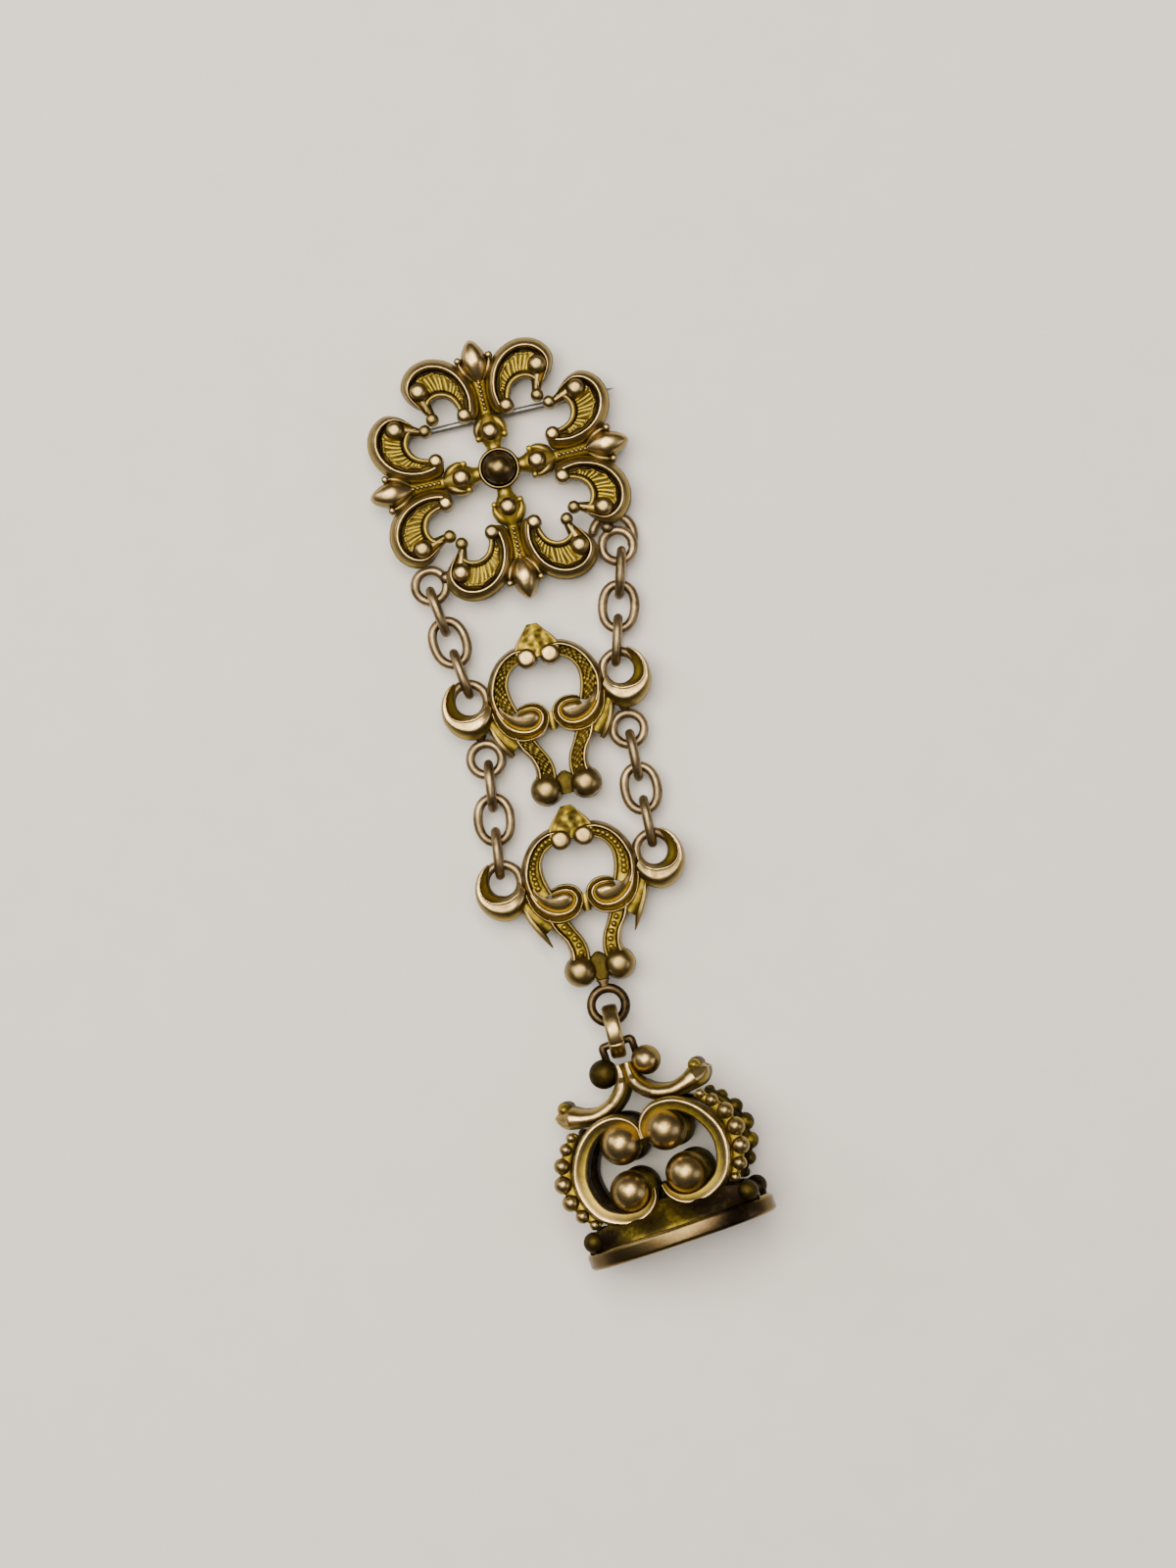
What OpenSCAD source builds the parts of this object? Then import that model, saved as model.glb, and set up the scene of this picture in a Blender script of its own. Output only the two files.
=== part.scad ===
/* [Brooch] */
// Reach of each of the four arms from the centre to the bud tip
arm_reach = 13.5; // [12:0.1:15]
// Turn of the brooch about its own centre, degrees
brooch_turn = 1.2; // [-3:0.1:3]
// Height of the scroll crests above the brooch's back
brooch_relief = 2.1; // [1.6:0.1:2.6]
// Radius of the centre bead
bead_r = 1.7; // [1.2:0.1:2]
// Thickness of the steel pin
pin_d = 0.7; // [0.5:0.05:0.9]

/* [Chains] */
// Wire thickness of the links and rings
wire_d = 1.0; // [0.8:0.05:1.1]
// Outside length of a chain link
link_length = 5.55; // [5.5:0.01:5.6]
// Outside width of a chain link
link_width = 4.3; // [4:0.1:4.8]
// Outside diameter of the soldered drop rings
drop_ring_d = 4.2; // [4:0.1:4.6]
// Outside diameter of the rings behind the plaque ears
ear_ring_d = 4.7; // [4.5:0.1:5]

/* [Plaques] */
// Half width of the oval made by the two C scrolls
oval_half_w = 6.0; // [5.6:0.1:6.4]
// Height of the plaque crests above the plaque's back
plaque_relief = 2.0; // [1.6:0.1:2.4]
// Distance from the plaque centre to each ear ring's centre
ear_reach = 7.9; // [7.7:0.1:8.1]
// Outside diameter of the lower plaque's bottom ring
bottom_ring_d = 4.5; // [4.2:0.1:4.8]

/* [Seal] */
// Length of the oval base
base_length = 20; // [18:0.5:22]
// Width of the oval base
base_width = 12.4; // [11.8:0.2:13]
// Thickness of the base
base_t = 1.9; // [1.5:0.1:2.4]
// Radius of the big scroll balls
ball_r = 2.15; // [1.8:0.05:2.2]
// Height of the bail bar above the base's underside
bail_height = 21.1; // [20.5:0.1:22]
// Turn of the seal in the plane of the table, degrees
seal_turn = 7; // [0:0.5:12]
// Roll of the seal about its own long axis, degrees
seal_roll = 10; // [0:0.5:10]
// Slope of the seal's axis down towards its bail, degrees
seal_slope = 5; // [4.5:0.1:5.5]

/* [Jump ring] */
// Outside diameter of the flat jump ring
jump_d = 5.6; // [5.4:0.1:6]
// Width of the jump ring's strip
jump_w = 1.6; // [1.2:0.1:1.7]
// Thickness of the jump ring's strip
jump_t = 0.85; // [0.7:0.05:0.9]

/* [Hidden] */
$fa = 6;
$fs = 0.2;

// Colours of worn gilt metal, chain bronze, tarnished metal and steel
gilt = "#B99A5B";
chain_bronze = "#8F7A52";
tarnished = "#5A482C";
steel = "#77756F";

// Wire and link values
wire_r = wire_d / 2;
link_end_r = (link_width - wire_d) / 2;
link_run = link_length - wire_d;
ring_mid_r = (drop_ring_d - wire_d) / 2;
ear_mid_r = (ear_ring_d - wire_d) / 2;
bottom_mid_r = (bottom_ring_d - wire_d) / 2;

// Heights: every ring and link is centred at lay_z, and the castings rest on the rings
lay_z = link_width / 2;
back_z = lay_z + wire_r;

// Centres of the brooch and the two plaques, with the fob's length along Y
brooch_c = [0, 34.1];
upper_c = [-0.15, 11.23];
lower_c = [-0.68, -7.56];
ear_y = 0.35;
brooch_ring_r_c = [10.15, 24];
brooch_ring_l_c = [-9.38, 24];
drop_dx = 7.45;
drop_dy = -5.75;
bottom_dy = -14.1;

// Pivots: centres of the cross wires that the links hang from
function below(c, r) = [c[0], c[1] - r];
function above(c, r) = [c[0], c[1] + r];
ul_top = below(brooch_ring_l_c, ring_mid_r);
ur_top = below(brooch_ring_r_c, ring_mid_r);
ul_end = above(upper_c + [-ear_reach, ear_y], ear_mid_r);
ur_end = above(upper_c + [ear_reach, ear_y], ear_mid_r);
ll_top = below(upper_c + [-drop_dx, drop_dy], ring_mid_r);
lr_top = below(upper_c + [drop_dx, drop_dy], ring_mid_r);
ll_end = above(lower_c + [-ear_reach, ear_y], ear_mid_r);
lr_end = above(lower_c + [ear_reach, ear_y], ear_mid_r);

// Small fixed values of the brooch and its pin
spine_h = 0.95;
boss_r = 1.7;
boss_h = 1.3;
collar_r = 2.15;
collar_h = 0.8;
pin_y = 5.6;
pin_z = 1.6;
hinge_x = -9.4;
catch_x = 9.3;
pin_run = 22.8;
pin_point = 4;
leaf_t = 0.5;
leaf_r = 1.15;
rivet_r = 0.35;
pin_eye_r = 0.85;
catch_w = 1.4;
catch_r = 1.05;
catch_t = 0.5;
leaf_bottom = pin_z + catch_r - leaf_t;

// Turn of wire behind the right brooch ring: its radius, its two ends and its post, degrees
rear_mid_r = 2.1;
rear_from = -35;
rear_to = 160;
rear_post = 95;
rear_gap = 360 - rear_to + rear_from;

// Full width of a sunk scroll panel, and the lower end of each plaque's web
channel_full_w = 2.2;
web_end = 11.4;

// Small fixed values of the seal
frame_z = 2.85;
ribbon_depth = 2;
upper_ball = [2.4, 11.3];
lower_ball = [3, 6.5];
top_ball = [2.3, 18.5];
top_ball_r = 1.5;
shoulder = [7.1, 15.3];
shoulder_r = 1.05;
strap_depth = 5.2;
bail_r = 0.5;
bail_half = 1.7;
ring_fit = 0.06;
base_edge = 0.4;

// Jump ring between the lower plaque's bottom ring and the bail bar.
// Its flat strip needs more room on the curved wire of the bottom ring than on the straight bar.
bottom_z = back_z + wire_r;
bottom_p = [lower_c[0], lower_c[1] + bottom_dy - bottom_mid_r];
jump_inner_r = jump_d / 2 - jump_t;
bottom_hole_r = bottom_mid_r - wire_r;
wire_rise = bottom_hole_r - sqrt(pow(bottom_hole_r, 2) - pow(jump_w / 2, 2));
jump_drop = jump_inner_r - wire_r - wire_rise - 0.03;
jump_span = jump_drop + jump_inner_r - bail_r - ring_fit;

// The seal lies on the rim of its base, so the bail's height follows from its slope and roll
base_low = norm([base_length / 2 * sin(seal_roll), base_width / 2 * cos(seal_roll)]);
bail_z = base_low * cos(seal_slope) - (bail_height - base_t + base_edge) * sin(seal_slope);
jump_tilt = asin((bail_z - bottom_z) / jump_span);
bail_p = [bottom_p[0], bottom_p[1] - jump_span * cos(jump_tilt)];
jump_c = [bottom_p[0], bottom_p[1] - jump_drop * cos(jump_tilt)];
jump_z = bottom_z + jump_drop * sin(jump_tilt);

// Points of a smooth curve through the control points, n steps to a span
function curve_at(p, i, t) =
    let (a = p[max(i - 1, 0)], b = p[i], c = p[i + 1], d = p[min(i + 2, len(p) - 1)])
    0.5 * (2 * b + (c - a) * t + (2 * a - 5 * b + 4 * c - d) * t * t + (3 * b - a - 3 * c + d) * t * t * t);
function curve(p, n) =
    [for (i = [0 : len(p) - 2]) for (k = [0 : n - 1]) curve_at(p, i, k / n), p[len(p) - 1]];

// Solid through a row of rings of points, closed by a flat cap at each end
module loft(rings) {
    m = len(rings[0]);
    n = len(rings);
    polyhedron(
        points = [for (r = rings) for (p = r) p],
        faces = concat(
            [[for (j = [0 : m - 1]) j]],
            [for (i = [0 : n - 2]) for (j = [0 : m - 1]) [i * m + j, (i + 1) * m + j, (i + 1) * m + (j + 1) % m]],
            [for (i = [0 : n - 2]) for (j = [0 : m - 1]) [i * m + j, (i + 1) * m + (j + 1) % m, i * m + (j + 1) % m]],
            [[for (j = [m - 1 : -1 : 0]) (n - 1) * m + j]]));
}

// Upright section from point o of the outer edge to point i of the inner edge.
// Each profile row is [edge, distance in from that edge, height], edge 0 outer and 1 inner.
function section(o, i, profile, relief) =
    let (w = norm(i - o), d = (i - o) / w, squeeze = min(1, w / channel_full_w))
    [for (q = profile)
        let (b = q[0] == 0 ? o + d * q[1] * squeeze : i - d * q[1] * squeeze) [b[0], b[1], q[2] * relief]];

// Scroll panel: a rolled outer ridge, a sunk floor and a thinner inner rim
channel_profile = [[0, 0, 0], [0, 0.05, 0.42], [0, 0.3, 0.8], [0, 0.65, 1], [0, 0.95, 0.88], [0, 1.15, 0.45],
    [1, 0.7, 0.45], [1, 0.55, 0.7], [1, 0.25, 0.78], [1, 0, 0.5], [1, 0, 0]];
// Domed leaf or comma, highest towards its outer edge
dome_profile = [[0, 0, 0], [0, 0, 0.4], [0, 0.25, 0.78], [0, 0.9, 1], [1, 0.5, 0.85], [1, 0.1, 0.6], [1, 0, 0]];

module panel(outer, inner, profile, relief, n) {
    o = curve(outer, n);
    i = curve(inner, n);
    loft([for (k = [0 : len(o) - 1]) section(o[k], i[k], profile, relief)]);
}

// Flat-topped bead that stands on the casting's back
module stud(p, r, top, facets) {
    steps = [[1, 0], [1, top - 0.7 * r], [0.86, top - 0.2 * r], [0.5, top]];
    loft([for (s = steps) [for (k = [0 : facets - 1])
        [p[0] + r * s[0] * cos(360 * k / facets), p[1] + r * s[0] * sin(360 * k / facets), s[1]]]]);
}

// Round-backed leaf along stations [x, y, half width, height]
leaf_profile = [[-1, 0], [-1, 0.35], [-0.6, 0.85], [0, 1], [0.6, 0.85], [1, 0.35], [1, 0]];
module leaf(stations) {
    n = len(stations);
    loft([for (k = [0 : n - 1])
        let (s = stations[k], a = stations[max(k - 1, 0)], b = stations[min(k + 1, n - 1)],
            d = [b[0] - a[0], b[1] - a[1]] / norm([b[0] - a[0], b[1] - a[1]]))
        [for (q = leaf_profile) [s[0] + d[1] * q[0] * s[2], s[1] - d[0] * q[0] * s[2], q[1] * s[3]]]]);
}

// Plain ring of round wire, lying flat
module wire_ring(mid_r) rotate_extrude($fn = 64) translate([mid_r, 0]) circle(wire_r, $fn = 32);

// Ring at a place on the lay height, with a short solder post up to the casting's back
module soldered_ring(centre, mid_r, post, post_r) {
    translate([centre[0], centre[1], lay_z]) wire_ring(mid_r);
    translate([post[0], post[1], lay_z - wire_r * 0.6]) cylinder(r = post_r, h = back_z - lay_z + wire_r * 0.6);
}

// Chain link: two half rings and two straight sides, in the XZ plane with its length along X
module link() {
    straight = link_run - 2 * link_end_r;
    for (side = [0, 1]) rotate([0, 180 * side, 0]) rotate([90, 0, 0]) {
        translate([straight / 2, 0, 0]) rotate([0, 0, -90])
            rotate_extrude(angle = 180, $fn = 48) translate([link_end_r, 0]) circle(wire_r, $fn = 24);
        translate([-straight / 2, link_end_r, 0]) rotate([0, 90, 0]) cylinder(r = wire_r, h = straight, $fn = 24);
    }
}

// Link k of the chain that hangs from the wire at top and holds the wire at end
module chain_link(top, end, k) {
    d = (end - top) / norm(end - top);
    hang = (3 * link_run - norm(end - top)) / 4;
    c = top + d * (link_run / 2 + (k - 1) * link_run - k * hang);
    color(chain_bronze) translate([c[0], c[1], lay_z])
        rotate([k == 2 ? 90 : 0, 0, 0]) rotate([0, 0, k == 2 ? 0 : atan2(d[1], d[0])])
            rotate([0, k == 2 ? -atan2(d[1], d[0]) : 0, 0]) link();
}

// Brooch, drawn about its own centre with its back at zero height
arm_outer = [[1.75, 5.4], [0.85, 5.75], [0.5, 6.9], [0.5, 8.3], [0.95, 9.8], [1.85, 11.2], [3.2, 12.2],
    [4.8, 12.6], [6.4, 12.25], [7.5, 11.3], [7.95, 10.1], [7.6, 8.9], [6.8, 7.95]];
arm_inner = [[2.8, 5.9], [2.75, 6.5], [2.8, 7], [3, 7.5], [3.25, 7.9], [3.6, 8.2], [4.1, 8.4],
    [4.6, 8.42], [5, 8.3], [5.3, 8.1], [5.5, 7.85], [5.6, 7.55], [5.7, 7.2]];
module arm_side() {
    panel(arm_outer, arm_inner, channel_profile, brooch_relief, 1);
    stud([2.2, 6.05], 0.75, brooch_relief + 0.05, 10);
    stud([6.2, 9.4], 1.0, brooch_relief + 0.15, 12);
    hull() {
        stud([5.5, 6.6], 0.62, 1.2, 6);
        stud([5.75, 7.3], 0.4, 1.1, 6);
    }
    // small beads of two neighbouring arms meet on the diagonal
    stud([5.55, 6.5], 0.78, 1.45, 8);
    // side leaf of the bud
    leaf([[0.2, 9.7, 0.3, 0.9], [0.9, 10.9, 0.5, 1.2], [1.45, 11.8, 0.45, 1.3], [1.75, 12.2, 0.2, 0.9]]);
    // side lobe of the knop
    stud([1.2, 3.85], 0.6, 1.15, 8);
}
module arm() {
    arm_side();
    mirror([1, 0, 0]) arm_side();
    // spine between the two panels
    translate([-0.7, 4.5, 0]) cube([1.4, 5.4, spine_h]);
    // bud at the tip
    leaf([[0, 9.3, 0.35, 1], [0, 10.4, 0.75, 1.4], [0, 11.6, 1.05, 1.75], [0, 12.7, 0.75, 1.5],
        [0, arm_reach, 0.12, 0.8]]);
    // neck and knop beside the centre collar
    leaf([[0, 1, 0.75, boss_h], [0, 2.6, 0.65, 1.15], [0, 3.6, 0.95, 1.5], [0, 4.6, 0.8, 1.4], [0, 5.4, 0.5, 0.9]]);
    stud([0, 3.95], 0.95, brooch_relief, 12);
}
module in_brooch() translate([brooch_c[0], brooch_c[1], back_z]) rotate([0, 0, brooch_turn]) children();
module brooch_casting() color(gilt) in_brooch() {
    for (turn = [0 : 90 : 270]) rotate([0, 0, turn]) arm();
    cylinder(r = boss_r, h = boss_h, $fn = 32);
}
module centre_bead() color(tarnished) in_brooch() translate([0, 0, boss_h]) {
    cylinder(r = collar_r, h = collar_h);
    // dome, cut flat at the collar's underside
    intersection() {
        translate([0, 0, collar_h]) sphere(bead_r);
        cylinder(r = collar_r, h = collar_h + 2 * bead_r);
    }
}

// Pin work behind the brooch, drawn with depth behind the back plane as height.
// The pin turns on an upright rivet and slips sideways out of its catch.
module behind(x) in_brooch() translate([x, pin_y, 0]) mirror([0, 0, 1]) children();
module pin_hinge() color(gilt) behind(hinge_x) difference() {
    union() {
        // sole soldered to the back, and the leaf that carries the rivet's other end
        for (z = [0, leaf_bottom]) translate([0, 0, z]) cylinder(r = leaf_r, h = leaf_t);
        // bend that joins them on the side away from the pin
        translate([-leaf_r - 0.35, -0.8, 0]) cube([0.45, 1.6, leaf_bottom + leaf_t]);
    }
    translate([0, 0, -1]) cylinder(r = rivet_r, h = 5);
}
module pin_hinge_rivet() color(steel) behind(hinge_x) cylinder(r = rivet_r, h = leaf_bottom + leaf_t);
module pin_stem() color(steel) behind(hinge_x) translate([0, 0, pin_z]) {
    difference() {
        union() {
            // flat eye on the rivet, then the stem drawn to a point
            cylinder(r = pin_eye_r, h = pin_d, center = true);
            rotate([0, 90, 0]) cylinder(r = pin_d / 2, h = pin_run - pin_point);
            translate([pin_run - pin_point, 0, 0]) rotate([0, 90, 0])
                rotate_extrude($fn = 24) polygon([[0, 0], [pin_d / 2, 0], [0.06, pin_point], [0, pin_point]]);
        }
        cylinder(r = rivet_r + 0.05, h = 5, center = true);
    }
}
// Hook bent from strip: sole, upright side and a lip that passes under the pin
module pin_catch() color(gilt) behind(catch_x) rotate([90, 0, 90]) linear_extrude(catch_w, center = true) {
    translate([-1.3, 0]) square([2.6, 0.4]);
    translate([-catch_r, 0]) square([catch_t, pin_z]);
    translate([0, pin_z]) difference() {
        circle(catch_r, $fn = 40);
        circle(catch_r - catch_t, $fn = 40);
        translate([-2 * catch_r, -2 * catch_r]) square([4 * catch_r, 2 * catch_r]);
        translate([0.25, -1]) square([2 * catch_r, 4 * catch_r]);
    }
}

// Plaque, drawn about its own centre with its back at zero height
scroll_outer = [[1.2, 4.7], [2.6, 4.65], [4.1, 3.85], [5.3, 2.4], [oval_half_w, 0.5], [5.85, -1.4], [5.15, -3.1],
    [4.1, -4.35], [2.9, -5.05], [1.6, -4.95], [0.5, -4.25], [0.08, -3.2], [0.32, -2.26]];
scroll_inner = [[1.4, 3], [2.3, 2.85], [3, 2.4], [3.5, 1.6], [3.65, 0.7], [3.5, -0.2], [3.2, -0.9],
    [2.9, -1.5], [2.6, -1.9], [2.3, -2.2], [2.1, -2.4], [1.9, -2.4], [1.82, -2.16]];
comma_outer = [[9, 2.55], [9.7, 2.15], [10.4, 1.35], [10.85, 0.1], [10.8, -1.3], [10.1, -2.6], [9, -3.4],
    [7.8, -3.6], [6.7, -3.1], [5.9, -2.2], [5.5, -1.2]];
comma_inner = [[8.95, 2], [9.2, 1.5], [9.35, 0.95], [9.4, 0.35], [9.25, -0.3], [8.8, -0.85], [8.2, -1.12],
    [7.6, -1.12], [7, -0.85], [6.6, -0.5], [6.35, 0.1]];
leg_outer = [[4.4, -4.2], [3.9, -5.5], [3.1, -6.7], [2.75, -7.9], [2.85, -9.2]];
leg_inner = [[2.2, -4.6], [1.6, -5.8], [1, -6.9], [0.7, -8.1], [0.75, -9.4]];
module plaque_side(spur_tip, spur_w) {
    panel(scroll_outer, scroll_inner, channel_profile, plaque_relief, 1);
    // domed eye of the scroll, with a smaller dome riding on it
    stud([2.07, -2.95], 1.6, plaque_relief + 0.15, 16);
    hull() {
        stud([2.3, -2.4], 0.7, plaque_relief + 0.35, 8);
        stud([3.1, -3.1], 0.45, plaque_relief + 0.25, 6);
    }
    // comma ear round the eyelet
    panel(comma_outer, comma_inner, dome_profile, plaque_relief * 0.95, 1);
    // sunk leg and its foot
    panel(leg_outer, leg_inner, channel_profile, plaque_relief * 0.8, 1);
    stud([2.15, -10.3], 1.5, plaque_relief * 1.05, 14);
    hull() {
        stud([2.1, -9.7], 0.92, plaque_relief * 0.65, 8);
        stud([1.85, -8.8], 0.88, plaque_relief * 0.46, 8);
    }
    // spur leaf under the scroll
    leaf([[6.3, -2.4, 0.4, 0.9], [5.9, -4, 0.55, 1.1], [5.1, -5.4, 0.6, 1.1], [spur_tip[0], spur_tip[1], spur_w, 0.7]]);
    hull() {
        stud([5.5, -3.3], 0.5, 0.85, 6);
        stud([4.2, -4.8], 0.4, 0.85, 6);
    }
    // ball at the foot of the heart
    stud([1.22, 3.45], 0.95, plaque_relief + 0.1, 12);
}
module plaque(spur_tip, spur_w) {
    plaque_side(spur_tip, spur_w);
    mirror([1, 0, 0]) plaque_side(spur_tip, spur_w);
    // heart leaf above the two balls
    leaf([[0, 3.35, 1.4, 1.45], [0, 3.85, 1.95, 1.5], [0, 4.35, 2.05, 1.5], [0, 5.4, 1.25, 1.45],
        [0, 6.25, 0.5, 1.4], [0, 6.75, 0.08, 1.2]]);
    // webs on the middle line: between the scroll eyes and between the feet
    hull() {
        stud([0, -2.6], 0.45, 1, 6);
        stud([0, -3.9], 0.45, 1, 6);
    }
    leaf([[0, -8, 0.75, 1], [0, -9, 1.05, 1.15], [0, -10.3, 1.1, 1.2], [0, -web_end, 0.8, 1.1]]);
}
module in_upper() translate([upper_c[0], upper_c[1], back_z]) children();
module in_lower() translate([lower_c[0], lower_c[1], back_z]) children();

// Seal, drawn upright in its own frame: X sideways, Y up from the base's underside, Z towards the viewer
module in_seal() translate([bail_p[0], bail_p[1], bail_z]) rotate([0, 0, seal_turn]) rotate([-seal_slope, 0, 0])
    rotate([0, -seal_roll, 0]) translate([0, -bail_height, 0]) children();

// Outline of a strip bent along stations [x, y, half width]
function strip_side(path, side) = [for (k = [0 : len(path) - 1])
    let (a = path[max(k - 1, 0)], b = path[min(k + 1, len(path) - 1)], d = [b[0] - a[0], b[1] - a[1]])
    [path[k][0], path[k][1]] + side * path[k][2] * [-d[1], d[0]] / norm(d)];
function strip(stations, n) = let (path = curve(stations, n), back = strip_side(path, -1), m = len(back))
    concat(strip_side(path, 1), [for (k = [0 : m - 1]) back[m - 1 - k]]);
module ribbon(stations, depth) translate([0, 0, -depth / 2]) linear_extrude(depth) polygon(strip(stations, 3));

// One half of a scroll frame: C ribbon with ball ends, bead row and foot
c_ribbon = [[0.7, 10.9, 0.3], [0.95, 12.6, 0.42], [2.4, 13.65, 0.5], [4.3, 13.4, 0.52], [6.2, 11.9, 0.56],
    [7.4, 9.6, 0.6], [7.4, 7.3, 0.6], [6.4, 5.2, 0.56], [4.7, 4.15, 0.5], [2.9, 4.1, 0.45], [1.5, 5.1, 0.3]];
bead_strip = [[6.6, 12.9, 0.45], [8, 11.3, 0.5], [8.6, 9.3, 0.55], [8.4, 7.1, 0.5], [7.3, 5, 0.45]];
bead_row = [[7.1, 13.5, 0.42], [8, 12.55, 0.55], [8.95, 11.1, 0.7], [9.45, 9.3, 0.78], [9.3, 7.35, 0.74],
    [8.6, 5.7, 0.6], [7.7, 4.5, 0.45]];
foot_shape = [[1.2, base_t], [1.4, 2.7], [2.1, 3.5], [3.2, 3.9], [4.4, 3.95], [6.2, 3.3], [8, 3.4], [8.9, 2.9], [9, base_t]];
module scroll_half() {
    ribbon(c_ribbon, ribbon_depth);
    translate(upper_ball) sphere(ball_r);
    translate(lower_ball) sphere(ball_r);
    ribbon(bead_strip, 1);
    for (b = bead_row) translate([b[0], b[1], 0]) sphere(b[2]);
    translate([0, 0, -ribbon_depth / 2]) linear_extrude(ribbon_depth) polygon(foot_shape);
    // corner lobe, cut flat where it sits on the base
    difference() {
        translate([8.3, base_t + 0.75, 0]) sphere(0.95);
        translate([5, base_t - 3, -3]) cube([6, 3, 6]);
    }
}
module scroll_frame() translate([0, 0, frame_z]) {
    scroll_half();
    mirror([1, 0, 0]) scroll_half();
    // solder bridge between the two lowest balls
    translate([-1.2, 6.2, -0.4]) cube([2.4, 0.6, 0.8]);
}
module seal_front_scrolls() color(gilt) in_seal() scroll_frame();
module seal_rear_scrolls() color(gilt) in_seal() mirror([0, 0, 1]) scroll_frame();

// Crown: two straps that start beside the top balls, swing down and out, and end in the shoulders
strap = [[0.55, 18.8, 0.4], [0.3, 17.7, 0.46], [0.75, 16.2, 0.5], [2.2, 15.05, 0.5], [4.1, 14.62, 0.5],
    [5.7, 14.9, 0.55], [shoulder[0] - 0.3, shoulder[1] - 0.1, 0.75]];
module crown_half() {
    ribbon(strap, strap_depth);
    translate([shoulder[0], shoulder[1], 0]) cylinder(r = shoulder_r, h = strap_depth, center = true);
}
// Side view of the crown, narrow at the top balls and full depth on the shoulders
crown_side = [[1.1, 20], [1.4, 17.6], [2.6, 15.8], [2.6, 13], [-2.6, 13], [-2.6, 15.8], [-1.4, 17.6], [-1.1, 20]];
module seal_crown() color(gilt) in_seal() {
    intersection() {
        union() {
            crown_half();
            mirror([1, 0, 0]) crown_half();
        }
        rotate([0, -90, 0]) linear_extrude(30, center = true) polygon(crown_side);
    }
    for (side = [-1, 1]) translate([side * top_ball[0], top_ball[1], 0]) sphere(top_ball_r);
}
module seal_bail() color(gilt) in_seal() {
    translate([0, bail_height, 0]) rotate([0, 90, 0]) cylinder(r = bail_r, h = 2 * bail_half, center = true);
    for (side = [-1, 1]) translate([side * bail_half, 0, 0]) {
        translate([0, bail_height, 0]) sphere(bail_r);
        translate([0, bail_height - 1.9, 0]) rotate([-90, 0, 0]) cylinder(r = bail_r, h = 1.9);
    }
}
// Oval plate with a small bevel round both edges
base_side = [[base_length / 2 - base_edge, 0], [base_length / 2, base_edge],
    [base_length / 2, base_t - base_edge], [base_length / 2 - base_edge, base_t]];
module seal_base() color(tarnished) in_seal() rotate([-90, 0, 0])
    loft([for (s = base_side) [for (a = [0 : 5 : 355])
        [s[0] * cos(a), s[0] * base_width / base_length * sin(a), s[1]]]]);
module seal_jump_ring() color(chain_bronze) translate([jump_c[0], jump_c[1], jump_z]) rotate([-jump_tilt, 0, 0])
    rotate([0, 90, 0]) difference() {
        cylinder(r = jump_d / 2, h = jump_w, center = true);
        cylinder(r = jump_d / 2 - jump_t, h = 2 * jump_w, center = true);
        // open cut where the ring was closed on the bail
        rotate([0, 0, 240]) translate([jump_d / 2, 0, 0]) cube([3, 0.12, 2 * jump_w], center = true);
    }

module brooch_ring_left() color(chain_bronze)
    soldered_ring(brooch_ring_l_c, ring_mid_r, brooch_ring_l_c + [1.75, 0.5], 0.65);
module brooch_ring_right() color(chain_bronze)
    soldered_ring(brooch_ring_r_c, ring_mid_r, brooch_ring_r_c + [-0.6, 2.1], 0.65);
// Larger turn of wire behind the right ring, open below where the first link passes
module brooch_rear_ring() color(chain_bronze)
    translate([brooch_ring_r_c[0] - 0.2, brooch_ring_r_c[1] + 1.2, lay_z - wire_d - 0.05]) {
        difference() {
            wire_ring(rear_mid_r);
            linear_extrude(2 * wire_d, center = true)
                polygon([[0, 0], for (k = [0 : 2]) 3 * rear_mid_r * (let (a = rear_to + k * rear_gap / 2) [cos(a), sin(a)])]);
        }
        for (a = [rear_from, rear_to]) translate([rear_mid_r * cos(a), rear_mid_r * sin(a), 0]) sphere(wire_r);
        translate([rear_mid_r * cos(rear_post), rear_mid_r * sin(rear_post), 0])
            cylinder(r = 0.5, h = back_z - lay_z + wire_d + 0.05);
    }
module ear_ring(c, side) color(chain_bronze)
    soldered_ring(c + [side * ear_reach, ear_y], ear_mid_r, c + [side * (ear_reach + 0.6), ear_y - ear_mid_r], 0.6);
module drop_ring(side) color(chain_bronze)
    soldered_ring(upper_c + [side * drop_dx, drop_dy], ring_mid_r, upper_c + [side * (drop_dx + 0.1), -3.3], 0.6);
module upper_plaque() color(gilt) in_upper() plaque([4.6, -6.1], 0.35);
module lower_plaque() color(gilt) in_lower() plaque([4.25, -7.3], 0.12);
module upper_ear_ring_left() ear_ring(upper_c, -1);
module upper_ear_ring_right() ear_ring(upper_c, 1);
module upper_drop_ring_left() drop_ring(-1);
module upper_drop_ring_right() drop_ring(1);
module lower_ear_ring_left() ear_ring(lower_c, -1);
module lower_ear_ring_right() ear_ring(lower_c, 1);
module lower_bottom_ring() color(chain_bronze) translate([lower_c[0], lower_c[1], bottom_z]) {
    translate([0, bottom_dy, 0]) wire_ring(bottom_mid_r);
    // short tail soldered to the end of the plaque's web
    translate([-0.5, bottom_dy + bottom_mid_r - 0.2, -0.4]) cube([1, -web_end - bottom_dy - bottom_mid_r + 0.2, 0.8]);
}
module upper_left_link_1() chain_link(ul_top, ul_end, 1);
module upper_left_link_2() chain_link(ul_top, ul_end, 2);
module upper_left_link_3() chain_link(ul_top, ul_end, 3);
module upper_right_link_1() chain_link(ur_top, ur_end, 1);
module upper_right_link_2() chain_link(ur_top, ur_end, 2);
module upper_right_link_3() chain_link(ur_top, ur_end, 3);
module lower_left_link_1() chain_link(ll_top, ll_end, 1);
module lower_left_link_2() chain_link(ll_top, ll_end, 2);
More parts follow.
